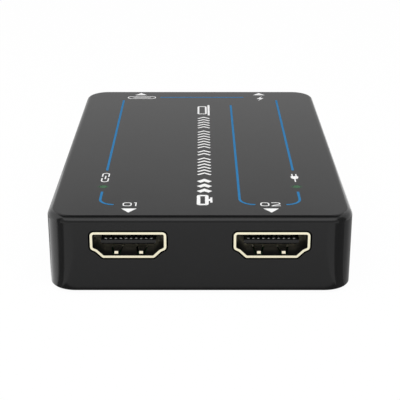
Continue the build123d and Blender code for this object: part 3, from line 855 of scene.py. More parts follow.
@dataclass(frozen=True)
class SolderMask(Finish):
    """A green board: lacquer over copper tracks, with bare glass fibre on its cut edges.

    Args:
        copper: The colour of the lacquer over copper.
        fibre: The colour of the cut edge.
        low: The height of the lower face.
        high: The height of the upper face.
        track: The width of a track and of the gap beside it.
        patch: The width of a patch in which the tracks run one way.
        calm: The width of the places that have no tracks.
        dots: How far apart the dots at the tracks' ends are.
        rim: How far the lacquer comes down over the cut edge.
        thread: The width of a glass thread in the cut edge.
        cut_roughness: The cut edge's roughness.
    """

    copper: Colour = (0.02, 0.2, 0.06)
    fibre: Colour = (0.42, 0.36, 0.16)
    low: float = 5.8 * MM
    high: float = 7.4 * MM
    track: float = 0.35 * MM
    patch: float = 5 * MM
    calm: float = 7 * MM
    dots: float = 2.2 * MM
    depth: float = 12 * MICRON
    rim: float = 0.05 * MM
    thread: float = 0.3 * MM
    cut_roughness: float = 0.8

    def tracks(self, recipe: Recipe) -> Socket:
        """Gives 1 over copper: bundles of tracks that turn from patch to patch, with dots.

        Args:
            recipe: It takes the nodes.

        Returns:
            A number from 0 to 1.
        """
        inputs = {"Vector": recipe.place, "Scale": 1 / self.patch}
        patches = recipe.add("ShaderNodeTexVoronoi", inputs, distance="MANHATTAN").outputs["Color"]
        turn = recipe.ramp(patches, 0.48, 0.52)
        runs = []
        for axis in (recipe.x, recipe.y):
            wave = recipe.maths("PINGPONG", axis, self.track)
            runs.append(recipe.ramp(wave, self.track * 0.42, self.track * 0.58))
        along_x, along_y = runs
        straight = recipe.maths("SUBTRACT", 1.0, turn)
        bundles = recipe.maths("ADD", recipe.both(turn, along_x), recipe.both(straight, along_y))
        quiet = recipe.ramp(recipe.noise(self.calm, 1), 0.4, 0.45)
        dots = recipe.ramp(recipe.cells(self.dots), 0.16, 0.13)
        return recipe.either(recipe.both(bundles, quiet), dots)

    def dress(self, recipe: Recipe) -> None:
        """Adds the tracks under the lacquer and the bare edges.

        Args:
            recipe: It takes the nodes.
        """
        copper = self.tracks(recipe)
        half = (self.high - self.low) / 2
        edge = recipe.within(recipe.z, self.low + half, half - self.rim, PLAIN_EDGE)
        weave = recipe.noise(self.thread, 3, recipe.stretched(1, 1, 4))
        bare = recipe.blend(weave, scaled(self.fibre, 0.7), scaled(self.fibre, 1.15))
        recipe.surface(
            Base_Color=recipe.blend(edge, recipe.blend(copper, self.colour, self.copper), bare),
            Roughness=recipe.ramp(edge, 0, 1, self.roughness, self.cut_roughness),
            IOR=self.index,
            Normal=recipe.bump(copper, self.depth),
        )


@dataclass(frozen=True)
class Ink(Finish):
    """Screen-printed ink: even colour, with the fine mesh of the screen in its skin.

    Args:
        thin: The width of a thinly inked place.
    """

    index: float = 1.45
    grain: float = 0.09 * MM
    depth: float = 1 * MICRON
    thin: float = 0.5 * MM

    def dress(self, recipe: Recipe) -> None:
        """Adds the mesh and slightly thin places.

        Args:
            recipe: It takes the nodes.
        """
        thin = recipe.ramp(recipe.noise(self.thin, 3), 0.35, 0.7)
        threads = [recipe.maths("PINGPONG", axis, self.grain) for axis in (recipe.x, recipe.y)]
        height = recipe.ramp(recipe.maths("ADD", *threads), 0, 2 * self.grain, soft=False)
        recipe.surface(
            Base_Color=recipe.blend(thin, self.colour, scaled(self.colour, 0.93)),
            Roughness=recipe.ramp(thin, 0, 1, self.roughness, self.roughness * 1.1),
            IOR=self.index,
            Normal=recipe.bump(height, self.depth),
        )


@dataclass(frozen=True)
class Card(Finish):
    """A plain studio card, lit evenly from its own back or left dark.

    Args:
        glow: How bright the card looks, where 1 is white.
    """

    colour: Colour = (0.02, 0.02, 0.02)
    roughness: float = 0.9
    glow: float = 0.0
    grain: float = 0.5 * MM
    depth: float = 20 * MICRON

    def dress(self, recipe: Recipe) -> None:
        """Adds the nap.

        Args:
            recipe: It takes the nodes.
        """
        nap = recipe.noise(self.grain, 2)
        recipe.surface(
            Base_Color=recipe.blend(nap, self.colour, scaled(self.colour, 0.9)),
            Roughness=self.roughness,
            Emission_Color=WHITE,
            Emission_Strength=self.glow,
            Normal=recipe.bump(nap, self.depth),
        )


@dataclass(frozen=True)
class ShadedCard(Card):
    """A card that fades along the case, as a floor does in the shade of what stands on it.

    Args:
        near: The y at which it is darkest.
        far: The y at which it has its full glow.
        shade: Its glow where it is darkest.
        foot: How far a dark shadow at the case's foot reaches, or 0 for none.
        foot_edge: How far the change at that shadow's end reaches.
        foot_glow: The share of the glow that is left in that shadow.
    """

    near: float = -45 * MM
    far: float = -90 * MM
    shade: float = 0.5
    foot: float = 0.0
    foot_edge: float = 0.1 * MM
    foot_glow: float = 0.15

    def dress(self, recipe: Recipe) -> None:
        """Adds the fading glow and the shadow at the foot.

        Args:
            recipe: It takes the nodes.
        """
        glow = recipe.ramp(recipe.y, self.near, self.far, self.shade, self.glow, soft=False)
        if self.foot:
            end = self.near - self.foot
            clear = recipe.ramp(recipe.y, end, end - self.foot_edge, self.foot_glow, 1.0)
            glow = recipe.both(glow, clear)
        recipe.surface(
            Base_Color=self.colour,
            Roughness=self.roughness,
            Emission_Color=WHITE,
            Emission_Strength=glow,
        )


@dataclass(frozen=True)
class PaleFloor(Finish):
    """A pale floor that looks plain white and still takes the object's shadow.

    Args:
        white: The share of plain white in what the camera, metal and glass see.
        footprint: Half the width and half the depth of what stands on the floor.
        fade: How far under the object the share of plain white fades out.
    """

    white: float = 0.97
    footprint: Point = (30 * MM, 45 * MM)
    fade: float = 2 * MM
    grain: float = 4 * MM

    def dress(self, recipe: Recipe) -> None:
        """Mixes a chalky surface with plain white outside the object's footprint.

        Args:
            recipe: It takes the nodes.
        """
        sides = [recipe.maths("SUBTRACT", recipe.maths("ABSOLUTE", axis), half)
                 for axis, half in zip((recipe.x, recipe.y), self.footprint)]
        outside = recipe.ramp(recipe.either(*sides), -2 * self.fade, -self.fade, 0.0, self.white)
        rays = recipe.tree.nodes.new("ShaderNodeLightPath").outputs
        seen = recipe.either(*(rays[f"Is {kind} Ray"] for kind in ("Camera", "Glossy", "Transmission")))
        speck = recipe.blend(recipe.noise(self.grain, 3), self.colour, scaled(self.colour, 0.98))
        chalk = recipe.add("ShaderNodeBsdfDiffuse", {"Color": speck, "Roughness": self.roughness})
        plain = recipe.add("ShaderNodeEmission", {"Color": WHITE, "Strength": 1.0})
        mixed = recipe.add("ShaderNodeMixShader", {"Fac": recipe.both(outside, seen)})
        recipe.feed(mixed.inputs[1], chalk.outputs[0])
        recipe.feed(mixed.inputs[2], plain.outputs[0])
        recipe.end(mixed.outputs[0])


def arc(centre: Point, radius: float, start: float, end: float, step: float = 7.5) -> list[Point]:
    """Gives the points of an arc.

    Args:
        centre: Its middle.
        radius: Its radius.
        start: The angle of its first point, in degrees anticlockwise from +x.
        end: The angle of its last point.
        step: The largest angle between two points.

    Returns:
        The points, both ends included.
    """
    count = max(1, math.ceil(abs(end - start) / step))
    angles = [math.radians(start + (end - start) * place / count) for place in range(count + 1)]
    return [(centre[0] + radius * math.cos(a), centre[1] + radius * math.sin(a)) for a in angles]


def rounded(width: float, height: float, radius: float, centre: Point = (0.0, 0.0)) -> list[Point]:
    """Gives the outline of a rectangle with rounded corners, anticlockwise.

    Args:
        width: Its width.
        height: Its height.
        radius: The radius of its corners.
        centre: Its middle.

    Returns:
        The outline's points.
    """
    across, up = width / 2 - radius, height / 2 - radius
    corners = ((across, up, 0), (-across, up, 90), (-across, -up, 180), (across, -up, 270))
    outline = []
    for x, y, start in corners:
        outline += arc((centre[0] + x, centre[1] + y), radius, start, start + 90, COARSE_STEP)
    return outline


@dataclass(frozen=True)
class Placing:
    """Where a mark lies on a face, and which way it reads.

    Args:
        x: The x of the mark's own origin.
        y: The y of the mark's own origin.
        turn: How far the mark is turned, in degrees anticlockwise seen from above.
    """

    x: float = 0.0
    y: float = 0.0
    turn: float = 0.0

    def apply(self, points: Iterable[Point]) -> list[Vector]:
        """Moves points from the mark's own axes to the case's."""
        turned = Matrix.Rotation(math.radians(self.turn), 2)
        return [turned @ Vector(point) + Vector((self.x, self.y)) for point in points]


@dataclass(frozen=True)
class Patch:
    """A printed area inside a closed outline.

    Args:
        outline: The outline's points, anticlockwise.
    """

    outline: Sequence[Point]

    def lay(self, mesh: bmesh.types.BMesh, placing: Placing, low: float, high: float) -> None:
        """Adds the area as a closed slab.

        Args:
            mesh: The mesh that takes the slab.
            placing: Where the mark lies.
            low: The height of the slab's underside.
            high: The height of its face.
        """
        points = placing.apply(self.outline)
        under, over = ([mesh.verts.new((*point, height)) for point in points] for height in (low, high))
        mesh.faces.new(over)
        mesh.faces.new(reversed(under))
        for place in range(len(points)):
            mesh.faces.new((under[place - 1], under[place], over[place], over[place - 1]))


@dataclass(frozen=True)
class Stroke:
    """A printed line of one width.

    Args:
        path: The points of its middle line.
        width: Its width.
        closed: Whether its end meets its start.
    """

    path: Sequence[Point]
    width: float
    closed: bool = False

    def sides(self, points: Sequence[Vector]) -> list[tuple[Vector, Vector]]:
        """Gives the line's left and right edge beside each of its points, mitred at the corners.

        Args:
            points: The points of the line's middle, placed on the face.

        Returns:
            A pair of places for each point.
        """
        count = len(points)
        edges = []
        for place, here in enumerate(points):
            before = points[place - 1] if place or self.closed else None
            after = points[(place + 1) % count] if place < count - 1 or self.closed else None
            ways = [(end - start).normalized() for start, end in ((before, here), (here, after))
                    if start is not None and end is not None]
            normals = [Vector((-way.y, way.x)) for way in ways]
            shift = (normals[0] + normals[-1]) / (1 + normals[0].dot(normals[-1])) * self.width / 2
            edges.append((here + shift, here - shift))
        return edges

    def lay(self, mesh: bmesh.types.BMesh, placing: Placing, low: float, high: float) -> None:
        """Adds the line as a closed slab.

        Args:
            mesh: The mesh that takes the slab.
            placing: Where the mark lies.
            low: The height of the slab's underside.
            high: The height of its face.
        """
        rings = []
        for left, right in self.sides(placing.apply(self.path)):
            corners = ((left, low), (right, low), (right, high), (left, high))
            rings.append([mesh.verts.new((*point, height)) for point, height in corners])
        pairs = list(zip(rings, rings[1:]))
        if self.closed:
            pairs.append((rings[-1], rings[0]))
        else:
            mesh.faces.new(rings[0])
            mesh.faces.new(reversed(rings[-1]))
        for first, second in pairs:
            for corner in range(4):
                mesh.faces.new((first[corner - 1], first[corner], second[corner], second[corner - 1]))


@dataclass(frozen=True)
class Mark:
    """A printed mark, made of patches and strokes in its own axes.

    Args:
        name: The name of its piece.
        shapes: Its patches and strokes.
        placing: Where it lies and which way it reads.
    """

    name: str
    shapes: Sequence[Patch | Stroke]
    placing: Placing = Placing()

    def print_on(self, height: float, ink: Ink, film: float, sunk: float) -> None:
        """Builds the mark as a thin film on a level face of the case or of the board in it.

        Args:
            height: The height of the face.
            ink: The ink.
            film: How far the film stands above the face.
            sunk: How far its underside lies below the face.
        """
        slab = bmesh.new()
        for shape in self.shapes:
            shape.lay(slab, self.placing, height - sunk, height + film)
        bmesh.ops.recalc_face_normals(slab, faces=slab.faces)
        data = bpy.data.meshes.new(self.name)
        slab.to_mesh(data)
        slab.free()
        data.materials.append(ink.material())
        piece = put_in_scene(self.name, data)
        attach(piece, ROOT)
        log.info("%s is printed in %s", self.name, ink.name)


class Numeral(Enum):
    """The numerals that the case may carry, each drawn by its own strokes."""

    ZERO = "0"
    ONE = "1"
    TWO = "2"

    def strokes(self, x: float, width: float, height: float, line: float,
                roundness: float = 0.28) -> list[Stroke]:
        """Draws the numeral.

        Args:
            x: Where its left side lies.
            width: Its width.
            height: Its height.
            line: The width of its strokes.
            roundness: The radius of its bends, as a share of its width or height.

        Returns:
            Its strokes, with their baseline at y 0.
        """
        half = line / 2
        left, right, top = x + half, x + width - half, height - half
        bend = min(height, width) * roundness
        if self is Numeral.ZERO:
            ring = rounded(width - line, height - line, bend, (x + width / 2, height / 2))
            return [Stroke(ring, line, closed=True)]
        if self is Numeral.ONE:
            stem = Stroke([(right, 0), (right, height)], line)
            return [stem, Stroke([(x, top), (right - half, top)], line)]
        bowl = arc((right - bend, top - bend), bend, 90, -35, COARSE_STEP)
        upper = Stroke([(x, top), *bowl, (left, line)], line)
        return [upper, Stroke([(x, half), (x + width, half)], line)]


@dataclass(frozen=True)
class TopFace:
    """The case's top face, and what the marks on it line up with.

    Args:
        front: The y of its front edge.
        back: The y of its back edge.
        top: Its height.
        socket_x: How far the middle of a video socket is from the middle line.
        port_x: How far the middle of a rear port is from the middle line.
        lamp_x: How far a light window is from the middle line.
        lamp_y: Where the light windows are along the case.
    """

    front: float
    back: float
    top: float
    socket_x: float
    port_x: float
    lamp_x: float
    lamp_y: float

    @classmethod
    def of_case(cls) -> "TopFace":
        """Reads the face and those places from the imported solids.

        Returns:
            The face.
        """
        low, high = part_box("housing")
        socket, port = middle("video_out_shell"), middle("power_port_shell")
        lamp = middle("power_light_pipe")
        return cls(low.y, high.y, high.z, socket.x, port.x, lamp.x, lamp.y)


@dataclass
class TopMarks:
    """The marks of one kind on the top face.

    Args:
        face: The face that they are printed on.
    """

    face: TopFace

    def marks(self) -> list[Mark]:
        """Gives the marks."""
        raise NotImplementedError


@dataclass
class RouteLines(TopMarks):
    """The lines that link the sockets in front with the ports behind.

    Args:
        width: Their width.
        hook_from_front: How far the hooks' ends are from the front edge.
        hook_bend: The radius of the side lines' hooks.
        side_from_back: How far the side lines' far ends are from the back edge.
        behind_lamp: How far behind a light window a side line breaks off.
        before_lamp: How far before the window it goes on.
        middle_x: The x of the middle line.
        middle_from_back: How far its far end is from the back edge.
        middle_bend: The radius of its hook.
        rear_from_back: How far the line across the case is from the back edge.
        rear_ends: The x of that line's ends.
    """

    width: float = 0.5 * MM
    hook_from_front: float = 6.85 * MM
    hook_bend: float = 2.9 * MM
    side_from_back: float = 9.25 * MM
    behind_lamp: float = 9.9 * MM
    before_lamp: float = 2.95 * MM
    middle_x: float = 8 * MM
    middle_from_back: float = 13.85 * MM
    middle_bend: float = 3.05 * MM
    rear_from_back: float = 6.4 * MM
    rear_ends: Point = (-10.6 * MM, 11.6 * MM)

    def hook(self, x: float, start: float, turn: Side, bend: float) -> list[Point]:
        """Gives a line that runs to the front and hooks sideways.

        Args:
            x: The line's x.
            start: The y at which it starts.
            turn: The side to which the hook goes.
            bend: The hook's radius.

        Returns:
            The line's points.
        """
        centre = (x + turn * bend, self.face.front + self.hook_from_front + bend)
        angles = (180, 270) if turn is Side.RIGHT else (0, -90)
        return [(x, start), *arc(centre, bend, *angles)]

    def marks(self) -> list[Mark]:
        """Gives the side lines with their hooks, the middle line and the line across.

        Returns:
            The marks.
        """
        face, paths = self.face, {}
        for side in Side:
            x = side * face.lamp_x
            far = [(x, face.back - self.side_from_back), (x, face.lamp_y + self.behind_lamp)]
            paths[f"{side.word}_route_line"] = far
            start = face.lamp_y - self.before_lamp
            paths[f"{side.word}_route_hook"] = self.hook(x, start, Side(-side), self.hook_bend)
        start = face.back - self.middle_from_back
        paths["middle_route_line"] = self.hook(self.middle_x, start, Side.RIGHT, self.middle_bend)
        paths["rear_route_line"] = [(x, face.back - self.rear_from_back) for x in self.rear_ends]
        return [Mark(name, [Stroke(path, self.width)]) for name, path in paths.items()]


@dataclass
class Arrows(TopMarks):
    """The arrows that point to the two sockets and the two ports.

    Args:
        front_size: The front arrows' half width and length.
        front_base: How far their bases are from the front edge.
        rear_size: The rear arrows' half width and length.
        rear_base: How far their bases are from the back edge.
    """

    front_size: Point = (1.53 * MM, 2.1 * MM)
    front_base: float = 4.75 * MM
    rear_size: Point = (1.55 * MM, 2.1 * MM)
    rear_base: float = 4.3 * MM

    def pair(self, names: tuple[str, str], size: Point, x: float, y: float,
             turn: float = 0.0) -> list[Mark]:
        """Gives a left and a right arrow.

        Args:
            names: What the two point to.
            size: Their half width and length.
            x: How far they are from the middle line.
            y: Where their bases are along the case.
            turn: How far they are turned, where 0 points to the front.

        Returns:
            The two marks.
        """
        half, length = size
        shapes = [Patch([(-half, 0), (0, -length), (half, 0)])]
        places = [Placing(side * x, y, turn) for side in Side]
        return [Mark(f"{name}_arrow", shapes, place) for name, place in zip(names, places)]

    def marks(self) -> list[Mark]:
        """Gives the four arrows.

        Returns:
            The marks.
        """
        face = self.face
        front_y, rear_y = face.front + self.front_base, face.back - self.rear_base
        front = self.pair(("video_in", "video_out"), self.front_size, face.socket_x, front_y)
        return front + self.pair(("data", "power"), self.rear_size, face.port_x, rear_y, 180)


@dataclass
class SocketNumerals(TopMarks):
    """The numerals 01 and 02 behind the video sockets' arrows.

    Args:
        from_front: How far their feet are from the front edge.
        height: Their height.
        width: A numeral's width.
        slim_width: The width of the numeral 1.
        gap: The gap between two numerals.
        line: The width of their strokes.
    """

    from_front: float = 6.05 * MM
    height: float = 1.9 * MM
    width: float = 1.8 * MM
    slim_width: float = 0.55 * MM
    gap: float = 0.42 * MM
    line: float = 0.24 * MM

    def width_of(self, numeral: Numeral) -> float:
        """Gives a numeral's width."""
        return self.slim_width if numeral is Numeral.ONE else self.width

    def marks(self) -> list[Mark]:
        """Gives both pairs of numerals, each centred behind its socket.

        Returns:
            The marks.
        """
        marks = []
        for name, side, last in zip(("video_in", "video_out"), Side, (Numeral.ONE, Numeral.TWO)):
            zero_width, last_width = self.width_of(Numeral.ZERO), self.width_of(last)
            half = (zero_width + self.gap + last_width) / 2
            strokes = Numeral.ZERO.strokes(-half, zero_width, self.height, self.line)
            strokes += last.strokes(half - last_width, last_width, self.height, self.line)
            placing = Placing(side * self.face.socket_x, self.face.front + self.from_front)
            marks.append(Mark(f"{name}_numeral", strokes, placing))
        return marks


@dataclass
class LinkPicture(TopMarks):
    """The small picture of two joined links behind the left light window.

    Args:
        behind_lamp: How far behind the window its middle is.
        line: The width of its strokes.
        bar: Half the length of the bar that joins the links.
        reach: How far the links reach from the middle.
        half: Half a link's width, which is also the radius of its round end.
        gap: How far from the middle a link is open.
    """

    behind_lamp: float = 5.45 * MM
    line: float = 0.28 * MM
    bar: float = 0.95 * MM
    reach: float = 2.6 * MM
    half: float = 0.68 * MM
    gap: float = 0.5 * MM

    def marks(self) -> list[Mark]:
        """Gives the bar and the two open links.

        Returns:
            The marks.
        """
        round_end = arc((self.reach - self.half, 0), self.half, 90, -90, COARSE_STEP)
        link = [(self.gap, self.half), *round_end, (self.gap, -self.half)]
        shapes = [Stroke([(-self.bar, 0), (self.bar, 0)], self.line)]
        shapes += [Stroke([(side * u, v) for u, v in link], self.line) for side in Side]
        placing = Placing(-self.face.lamp_x, self.face.lamp_y + self.behind_lamp, 90)
        return [Mark("link_picture", shapes, placing)]


@dataclass
class PlugPicture(TopMarks):
    """The small picture of a plug behind the right light window.

    Args:
        behind_lamp: How far behind the window its middle is.
        half: Half the plug's width, which is also the radius of its round end.
        nose: How far its flat end is from the middle.
        tail: How far its round end is from the middle.
        cord: How far its cord reaches from the middle.
        pins: How far its pins reach from the middle.
        pin_gap: How far each pin is from the plug's own middle line.
        line: The width of the cord.
        pin_line: The width of a pin.
    """

    behind_lamp: float = 5.45 * MM
    half: float = 0.8 * MM
    nose: float = 0.75 * MM
    tail: float = 0.9 * MM
    cord: float = 2.6 * MM
    pins: float = 2.1 * MM
    pin_gap: float = 0.42 * MM
    line: float = 0.28 * MM
    pin_line: float = 0.252 * MM

    def marks(self) -> list[Mark]:
        """Gives the plug with its cord and its two pins.

        Returns:
            The marks.
        """
        round_end = arc((self.half - self.tail, 0), self.half, 90, 270, COARSE_STEP)
        shapes = [Patch([(self.nose, -self.half), (self.nose, self.half), *round_end])]
        shapes.append(Stroke([(-self.cord, 0), (-self.tail, 0)], self.line))
        for side in Side:
            v = side * self.pin_gap
            shapes.append(Stroke([(self.nose, v), (self.pins, v)], self.pin_line))
        placing = Placing(self.face.lamp_x, self.face.lamp_y + self.behind_lamp, 90)
        return [Mark("plug_picture", shapes, placing)]


@dataclass
class PortPictures(TopMarks):
    """The outline of the data port's mouth, and the bolt, each in front of its port's arrow.

    Args:
        line: The width of the outline.
        mouth: The outline's width and height.
        bar: Half the length of the bar that stands for the port's tongue.
        mouth_inward: How far the outline's middle is inward of the port's.
        mouth_from_back: How far it is from the back edge.
        bolt: Half the bolt's width and half its length.
        bolt_outward: How far the bolt's middle is outward of the port's.
        bolt_from_back: How far it is from the back edge.
        bolt_outline: The bolt's corners, as shares of its half sizes.
    """

    line: float = 0.28 * MM
    mouth: Point = (7.6 * MM, 2.2 * MM)
    bar: float = 2.3 * MM
    mouth_inward: float = 0.35 * MM
    mouth_from_back: float = 6.65 * MM
    bolt: Point = (0.95 * MM, 2.0 * MM)
    bolt_outward: float = 0.15 * MM
    bolt_from_back: float = 7.55 * MM
    bolt_outline: tuple[Point, ...] = (
        (0.6, 1.0), (-1.0, -0.2), (-0.05, -0.2), (-0.6, -1.0), (1.0, 0.2), (0.05, 0.2))

    def marks(self) -> list[Mark]:
        """Gives the outline with its bar, and the bolt.

        Returns:
            The marks.
        """
        face = self.face
        width, height = (size - self.line for size in self.mouth)
        rim = Stroke(rounded(width, height, height / 2 - MICRON), self.line, closed=True)
        tongue = Stroke([(-self.bar, 0), (self.bar, 0)], self.line)
        half, high = self.bolt
        bolt = Patch([(u * half, v * high) for u, v in self.bolt_outline])
        mouth_at = Placing(self.mouth_inward - face.port_x, face.back - self.mouth_from_back, 180)
        bolt_at = Placing(face.port_x + self.bolt_outward, face.back - self.bolt_from_back, 180)
        return [Mark("port_picture", [rim, tongue], mouth_at), Mark("bolt_picture", [bolt], bolt_at)]


@dataclass(frozen=True)
class ChevronRow:
    """A group of equal chevrons in the long row.

    Args:
        start: Where the group starts along the row.
        count: How many chevrons it has.
        step: The way from one to the next.
        line: The width of their strokes.
        point: How far their points stand out, as a share of the row's height.
    """

    start: float
    count: int
    step: float
    line: float
    point: float = 0.34

    def strokes(self, height: float) -> list[Stroke]:
        """Draws the chevrons across a row of this height.

        Args:
            height: The row's height.

        Returns:
            The strokes.
        """
        edge = self.line / 3
        drawn = []
        for place in range(self.count):
            u = self.start + place * self.step + self.line / 2
            tip = (u + self.point * height, height / 2)
            drawn.append(Stroke([(u, edge), tip, (u, height - edge)], self.line))
        return drawn


@dataclass(frozen=True)
class ScreenPicture:
    """The picture of a screen on a foot, which starts the long row.

    Args:
        width: The screen's width.
        share: The screen's height, as a share of the row's.
        frame: The width of its frame.
        corner: The radius of the frame's corners.
        foot: The foot's width.
        foot_line: The foot's thickness.
        neck_line: The neck's width.
    """

    width: float = 5.6 * MM
    share: float = 0.76
    frame: float = 0.72 * MM
    corner: float = 0.3 * MM
    foot: float = 2.8 * MM
    foot_line: float = 0.44 * MM
    neck_line: float = 1.0 * MM

    def strokes(self, height: float) -> list[Stroke]:
        """Draws the screen, its foot and its neck in a row of this height.

        Args:
            height: The row's height.

        Returns:
            The strokes.
        """
        centre, high = self.width / 2, height * self.share
        rim = rounded(self.width - self.frame, high - self.frame, self.corner, (centre, height - high / 2))
        foot = [(centre + side * self.foot / 2, self.foot_line / 2) for side in Side]
        neck = [(centre, self.foot_line), (centre, height - high)]
        stand = [Stroke(foot, self.foot_line), Stroke(neck, self.neck_line)]
        return [Stroke(rim, self.frame, closed=True), *stand]


@dataclass(frozen=True)
class ComputerPicture:
    """The picture of a folding computer, which ends the long row.

    Args:
        place: Where its middle is along the row.
        lid: The width and height of the lid's middle line.
        lid_corner: The radius of the lid's corners.
        lid_drop: How far the lid's middle is below the row's top.
        lid_line: The width of the lid's outline.
        base: The base's width and height.
        base_corner: The radius of the base's corners.
        base_rise: How far the base's middle is above the row's foot.
    """

    place: float = 65.6 * MM
    lid: Point = (6.4 * MM, 1.9 * MM)
    lid_corner: float = 0.3 * MM
    lid_drop: float = 1.2 * MM
    lid_line: float = 0.45 * MM
    base: Point = (9.2 * MM, 0.5 * MM)
    base_corner: float = 0.2 * MM
    base_rise: float = 0.3 * MM

    def shapes(self, height: float) -> list[Patch | Stroke]:
        """Draws the lid and the base in a row of this height.

        Args:
            height: The row's height.

        Returns:
            The shapes.
        """
        lid = rounded(*self.lid, self.lid_corner, (self.place, height - self.lid_drop))
        base = rounded(*self.base, self.base_corner, (self.place, self.base_rise))
        return [Stroke(lid, self.lid_line, closed=True), Patch(base)]


@dataclass
class FlowRow(TopMarks):
    """The long row along the case: a screen, chevrons in groups, and a computer.

    Args:
        x: The x of its foot. It reads from the front to the back.
        from_front: How far it starts from the front edge.
        height: Its height, across the case.
        screen: Its first picture.
        groups: Its chevrons.
        computer: Its last picture.
    """

    x: float = 2.5 * MM
    from_front: float = 6.55 * MM
    height: float = 3.15 * MM
    screen: ScreenPicture = ScreenPicture()
    groups: tuple[ChevronRow, ...] = (
        ChevronRow(6.8 * MM, 3, 2.9 * MM, 1.15 * MM),
        ChevronRow(17.3 * MM, 6, 1.95 * MM, 0.52 * MM),
        ChevronRow(30.2 * MM, 2, 1.95 * MM, 0.52 * MM),
        ChevronRow(35.2 * MM, 7, 1.95 * MM, 0.48 * MM),
        ChevronRow(50.3 * MM, 5, 1.95 * MM, 0.48 * MM),
    )
    computer: ComputerPicture = ComputerPicture()

    def marks(self) -> list[Mark]:
        """Gives the row's pictures and groups.

        Returns:
            The marks.
        """
        placing = Placing(self.x, self.face.front + self.from_front, 90)
        marks = [Mark("screen_picture", self.screen.strokes(self.height), placing)]
        for number, group in enumerate(self.groups, 1):
            marks.append(Mark(f"flow_chevrons_{number}", group.strokes(self.height), placing))
        marks.append(Mark("computer_picture", self.computer.shapes(self.height), placing))
        return marks


@dataclass
class TopPrint:
    """Everything printed on the case's top face, in two inks.

    Args:
        film: How far the ink stands above the plastic.
        sunk: How far the ink reaches into it.
        blue: The route lines' ink.
        white: The ink of the other marks.
    """

    film: float = 0.015 * MM
    sunk: float = 0.02 * MM
    blue: Ink = Ink("blue_ink", tone(36, 120, 175), 0.5, index=1.2)
    white: Ink = Ink("white_ink", tone(248, 248, 248), 0.5, index=1.2)

    def build(self) -> None:
        """Prints every mark."""
        face = TopFace.of_case()
        sets = ((self.blue, RouteLines), (self.white, Arrows), (self.white, SocketNumerals),
                (self.white, LinkPicture), (self.white, PlugPicture), (self.white, PortPictures),
                (self.white, FlowRow))
        for ink, kind in sets:
            for mark in kind(face).marks():
                mark.print_on(face.top, ink, self.film, self.sunk)


@dataclass
class Case:
    """The housing, its bottom cover, the screws and the feet.

    Args:
        under: The cover's plastic, with a coarser grain than the housing's.
        rubber: The feet's rubber.
        steel: The screws' steel.
    """

    under: MouldedPlastic = MouldedPlastic(
        "cover_plastic", (0.013, 0.013, 0.0135), 0.48, index=1.42, grain=0.25 * MM, depth=6 * MICRON)
    rubber: Rubber = Rubber("foot_rubber", (0.016, 0.016, 0.016), 0.85)
    steel: SheetMetal = SheetMetal(
        "screw_steel", (0.3, 0.3, 0.31), 0.3, line=0.06 * MM, stretch=1.0, tarnish=(0.08, 0.08, 0.085))

    def dress(self) -> None:
        """Finishes the case's nodes, with the lamps' glow painted into the housing at its light windows."""
        lamp, top = middle("power_light_pipe"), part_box("housing")[1].z
        # The housing's colour carries the lamps' painted glow round the light windows.
        black = LitPlastic(
            "housing_plastic", (0.0072, 0.0072, 0.0074), 0.15, index=1.35, grain=0.14 * MM,
            depth=0.5 * MICRON, window_x=lamp.x, window_y=lamp.y, top=top)
        black.put_on("housing")
        self.under.put_on("bottom_cover")
        self.rubber.put_on("rubber_feet")
        self.steel.put_on("cover_screws", "board_screws")


@dataclass
class Pair:
    """Two things of one kind, whose nodes are named alike.

    Args:
        names: The two names that their nodes' names start with.
    """

    names: tuple[str, str]

    def finishes(self) -> dict[str, Finish]:
        """Gives the finish of each piece, by the end of its node's name."""
        raise NotImplementedError

    def dress(self) -> None:
        """Finishes the nodes of both."""
        for ending, finish in self.finishes().items():
            finish.put_on(*(f"{name}_{ending}" for name in self.names))


@dataclass
class VideoSockets(Pair):
    """The two video sockets in front: plated shells, black tongues and bright contacts.

    Args:
        base: How thick the block is that carries a tongue.
        tip: How long a contact's polished tip is.
        half_pitch: How far the nearest upper contact is from its socket's middle.
    """

    names: tuple[str, str] = ("video_in", "video_out")
    base: float = 2.4 * MM
    tip: float = 0.12 * MM
    half_pitch: float = 0.5 * MM

    def finishes(self) -> dict[str, Finish]:
        """Fits the finishes to the sockets' mouths, middles and contacts.

        Returns:
            The finish of each piece, by the end of its node's name.
        """
        mouth, back = (corner.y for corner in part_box(f"{self.names[0]}_shell"))
        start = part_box(f"{self.names[0]}_contacts")[0].y
        centres = tuple(middle(f"{name}_shell").x for name in self.names)
        # The plating's sheet behind the lip carries painted shade, lighter further in.
        gold = SocketPlating(
            "gold_plate", (1.0, 0.94, 0.71), 0.3, tarnish=(0.98, 0.88, 0.62), mouth=mouth, sockets=centres)
        # The block behind each tongue carries the insulator's painted light.
        black = Insulator(
            "insulator_black", (0.007, 0.007, 0.0065), 0.5, index=1.42, block=back - self.base)
        contact = ContactMetal(
            "contact_metal", (0.4, 0.39, 0.37), 0.3, line=0.02 * MM, tarnish=(0.34, 0.33, 0.3),
            tips=start + self.tip, first=centres[0] + self.half_pitch)
        return {"shell": gold, "tongue": black, "contacts": contact}


@dataclass
class RearPorts(Pair):
    """The data port and the power port behind."""

    names: tuple[str, str] = ("data_port", "power_port")

    def finishes(self) -> dict[str, Finish]:
        """Gives nickel shells, black tongues and gold contacts.

        Returns:
            The finish of each piece, by the end of its node's name.
        """
        nickel = SheetMetal("nickel_plate", (0.66, 0.64, 0.6), 0.24, tarnish=(0.5, 0.48, 0.44))
        black = Insulator("port_insulator", (0.01, 0.01, 0.01), 0.5)
        contact = SheetMetal("port_contact_metal", (0.86, 0.68, 0.36), 0.25, line=0.02 * MM)
        return {"shell": nickel, "tongue": black, "contacts": contact}


